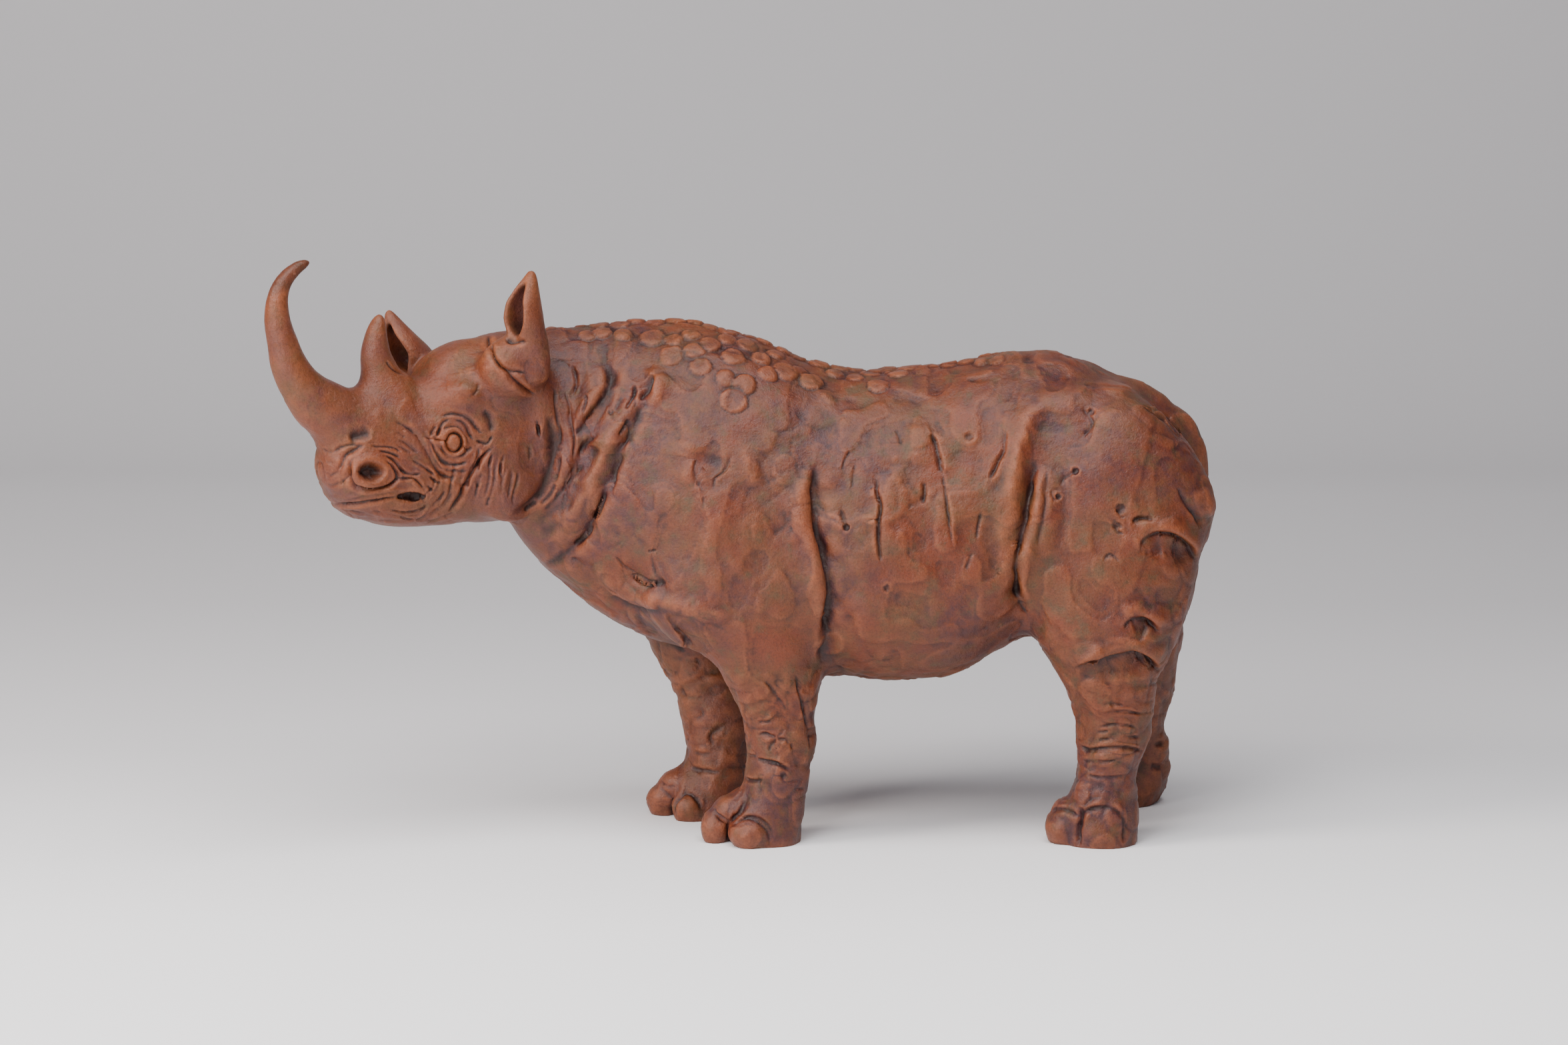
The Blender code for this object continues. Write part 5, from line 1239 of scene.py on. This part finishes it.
def blendColours(tree, share, first, second, how="MIX"):
    # Mix has inputs of its own for colours: 0 the share, 6 and 7 the two colours, and output 2
    made = addNode(tree, "Mix", data_type="RGBA", blend_type=how)
    for place, source in ((0, share), (6, first), (7, second)):
        if isinstance(source, (float, tuple)):
            made.inputs[place].default_value = source
        else:
            tree.links.new(source, made.inputs[place])
    return made.outputs[2]


def maths(tree, how, first, second, clamp=False):
    made = addNode(tree, "Math", operation=how, use_clamp=clamp)
    for place, source in ((0, first), (1, second)):
        if isinstance(source, float):
            made.inputs[place].default_value = source
        else:
            tree.links.new(source, made.inputs[place])
    return made.outputs[0]


terracotta = {
    "clay": "#672912",  # iron-rich earthenware, fired orange brown
    "ochre": "#593B1F",  # paler slip rubbed on
    "olive": "#463824",  # in small spots
    "plum": "#422326",  # where the kiln reduced it, in broad random patches; also painted shade in the hollows, more of it below about 70 mm and in patches over the head
    "stainAndShade": "#27120D",  # dark wash left in the cuts, and painted shade on the floors of the nostril and mouth corner
    "wornAndLit": "#8A4C2E",  # rubbed back to bare clay on the high places; also paler all over the head, and painted light on the off side low down, mostly its legs
    "roughness": 0.47,
    "gloss": 0.34,
}


def makeTerracotta():
    # earthenware pressed by hand, burnished, washed with dark stain and rubbed back: matt to silky, warm and blotchy,
    # dark in the folds and paler on the edges; plum as painted shade in the hollows, dark painted shade in the nostril
    # and mouth corner, and painted light on the lower off-side legs
    material = bpy.data.materials.new("handBuiltTerracotta")
    material.use_nodes = True
    tree = material.node_tree
    shader = tree.nodes["Principled BSDF"]
    place = addNode(tree, "TexCoord").outputs["Object"]
    read = lambda name: addNode(tree, "Attribute", attribute_name=name).outputs["Fac"]
    noiseOf = lambda size, detail, rough=0.55: addNode(
        tree, "TexNoise", {"Scale": 1 / (size * mm), "Detail": detail, "Roughness": rough}, {"Vector": place}
    ).outputs["Fac"]
    broad, patches, mottle, speck = noiseOf(75, 4), noiseOf(26, 6, 0.62), noiseOf(8, 6, 0.7), noiseOf(1.3, 3)
    colour = blendColours(
        tree, ramp(tree, patches, ((0.36, 0.15), (0.64, 0.75))), linear(terracotta["clay"]), linear(terracotta["ochre"])
    )
    # plum: broad random patches, plus the hollow attribute, which is painted shade in the hollows
    plum = maths(tree, "ADD", ramp(tree, broad, ((0.42, 0.1), (0.57, 0.85))), maths(tree, "MULTIPLY", read("hollow"), 0.9))
    plum = maths(tree, "MULTIPLY", plum, ramp(tree, mottle, ((0.36, 0.15), (0.6, 1))), True)
    colour = blendColours(tree, plum, colour, linear(terracotta["plum"]))
    olive = ramp(tree, noiseOf(13, 5, 0.65), ((0.54, 0), (0.66, 0.55)))
    colour = blendColours(tree, olive, colour, linear(terracotta["olive"]))
    # rubbed bare high places, the paler head, and painted light on the lower off-side legs
    wearAndLight = maths(tree, "MULTIPLY", read("wearAndLight"), ramp(tree, mottle, ((0.35, 0.3), (0.65, 1))))
    colour = blendColours(tree, maths(tree, "MULTIPLY", wearAndLight, 0.9, True), colour, linear(terracotta["wornAndLit"]))
    # dark wash in the cuts, the darker horn tip, and painted shade on the floors of the nostril and mouth corner
    stainAndShade = maths(tree, "MULTIPLY", read("stainAndShade"), ramp(tree, mottle, ((0.3, 0.65), (0.6, 1.2))))
    stainAndShade = maths(tree, "ADD", stainAndShade, maths(tree, "MULTIPLY", read("hornTip"), 0.45), True)
    colour = blendColours(tree, stainAndShade, colour, linear(terracotta["stainAndShade"]))
    colour = blendColours(tree, 1.0, colour, ramp(tree, speck, ((0.3, 0.72), (0.55, 1.0))), "MULTIPLY")
    tree.links.new(colour, shader.inputs["Base Color"])
    rough = maths(tree, "MULTIPLY", ramp(tree, patches, ((0.3, 0.8), (0.7, 1.1))), terracotta["roughness"])
    rough = maths(tree, "SUBTRACT", rough, maths(tree, "MULTIPLY", read("horn"), 0.1), True)
    tree.links.new(rough, shader.inputs["Roughness"])
    shader.inputs["Specular IOR Level"].default_value = terracotta["gloss"]
    grain, scuffs = noiseOf(0.9, 3, 0.6), noiseOf(3.2, 5, 0.65)
    height = maths(tree, "ADD", maths(tree, "MULTIPLY", grain, 0.3), scuffs)
    bump = addNode(tree, "Bump", {"Strength": 0.8, "Distance": 0.8 * mm}, {"Height": height})
    tree.links.new(bump.outputs["Normal"], shader.inputs["Normal"])
    return material


# the studio

studio = {
    # painted shade: the paper is near white in front of the figure and greys towards the back, as if less lit there,
    # and is a little lighter again up the wall
    "near": "#FCFAFB",
    "far": "#D8D5D7",
    "wallStart": 1700,  # mm behind the figure
    "bend": 900,
    "wide": 9000,
    "front": -3200,
    "tall": 4000,
}


def makeSweep():
    # a profile that runs level, turns up through a quarter circle and goes on upright
    turn = np.linspace(0, math.pi / 2, 24)
    y = np.concatenate([[studio["front"]], studio["wallStart"] + studio["bend"] * np.sin(turn), [studio["wallStart"] + studio["bend"]]])
    z = np.concatenate([[0], studio["bend"] * (1 - np.cos(turn)), [studio["tall"]]])
    x = np.array([-studio["wide"] / 2, studio["wide"] / 2])
    points = np.stack([np.tile(x, len(y)), np.repeat(y, 2), np.repeat(z, 2)], -1)
    k = np.arange(len(y) - 1)[:, None] * 2
    mesh = bpy.data.meshes.new("paperSweep")
    mesh.from_pydata(points * mm, [], (k + (0, 1, 3, 2)).tolist())
    mesh.shade_smooth()
    paper = bpy.data.materials.new("mattPaper")
    paper.use_nodes = True
    shader = paper.node_tree.nodes["Principled BSDF"]
    tree = paper.node_tree
    place = addNode(tree, "TexCoord").outputs["Object"]
    across = addNode(tree, "SeparateXYZ", links={"Vector": place}).outputs["Y"]
    near, far = (linear(studio[name]) for name in ("near", "far"))
    across = maths(tree, "ADD", maths(tree, "MULTIPLY", across, 0.4), 0.4)
    # painted shade: near colour in front, far colour behind the figure, easing back towards the near one up the wall
    shade = blendColours(tree, ramp(tree, across, ((0.3, 0), (0.5, 0.93), (0.74, 1), (1, 0.6))), near, far)
    tree.links.new(shade, shader.inputs["Base Color"])
    shader.inputs["Roughness"].default_value = 0.9
    mesh.materials.append(paper)
    sweep = inScene("paperSweep", mesh)


def pointAt(obj, place, target):
    from mathutils import Vector

    obj.location = place
    obj.rotation_euler = (Vector(target) - Vector(place)).to_track_quat("-Z", "Y").to_euler()


lights = {
    # where, target, size, watts, colour
    "key": ((-1.9, -0.95, 1.5), (0.0, 0.0, 0.15), 0.8, 44, "#FFF8F2"),
    "front": ((-0.8, -1.7, 1.2), (-0.05, 0.0, 0.15), 0.9, 24, "#FFFFFF"),
    "top": ((0.1, -0.85, 1.8), (0.05, -0.6, 0.0), 1.4, 46, "#FFFFFF"),
    "low": ((-1.6, -1.6, 0.35), (-0.1, 0.0, 0.12), 0.8, 13, "#FFFFFF"),
    "world": ("#E6E8F2", 0.18),
}


def makeLights():
    for name in ("key", "front", "top", "low"):
        place, target, size, watts, colour = lights[name]
        data = bpy.data.lights.new(name, "AREA")
        data.energy, data.size, data.color = watts, size, linear(colour)[:3]
        pointAt(inScene(name, data), place, target)
    world = bpy.data.worlds.new("studio")
    world.use_nodes = True
    colour, strength = lights["world"]
    back = world.node_tree.nodes["Background"]
    back.inputs["Color"].default_value = linear(colour)
    back.inputs["Strength"].default_value = strength
    bpy.context.scene.world = world


def makeCamera(moved):
    # on the line of sight, so that the plane through aim fills the picture's width
    data = bpy.data.cameras.new("camera")
    data.lens = data.sensor_width * view["distance"] / view["width"]
    away = sightLines()[2]
    aim = (view["aim"] + moved) * mm
    camera = inScene("camera", data)
    pointAt(camera, aim - away * view["distance"] * mm, aim)
    bpy.context.scene.camera = camera


rhinoceros, moved = makeRhinoceros()
rhinoceros.data.materials.clear()
rhinoceros.data.materials.append(makeTerracotta())
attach(rhinoceros, "root")
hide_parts(node)
makeSweep()
makeLights()
makeCamera(moved)
print("studio ready")
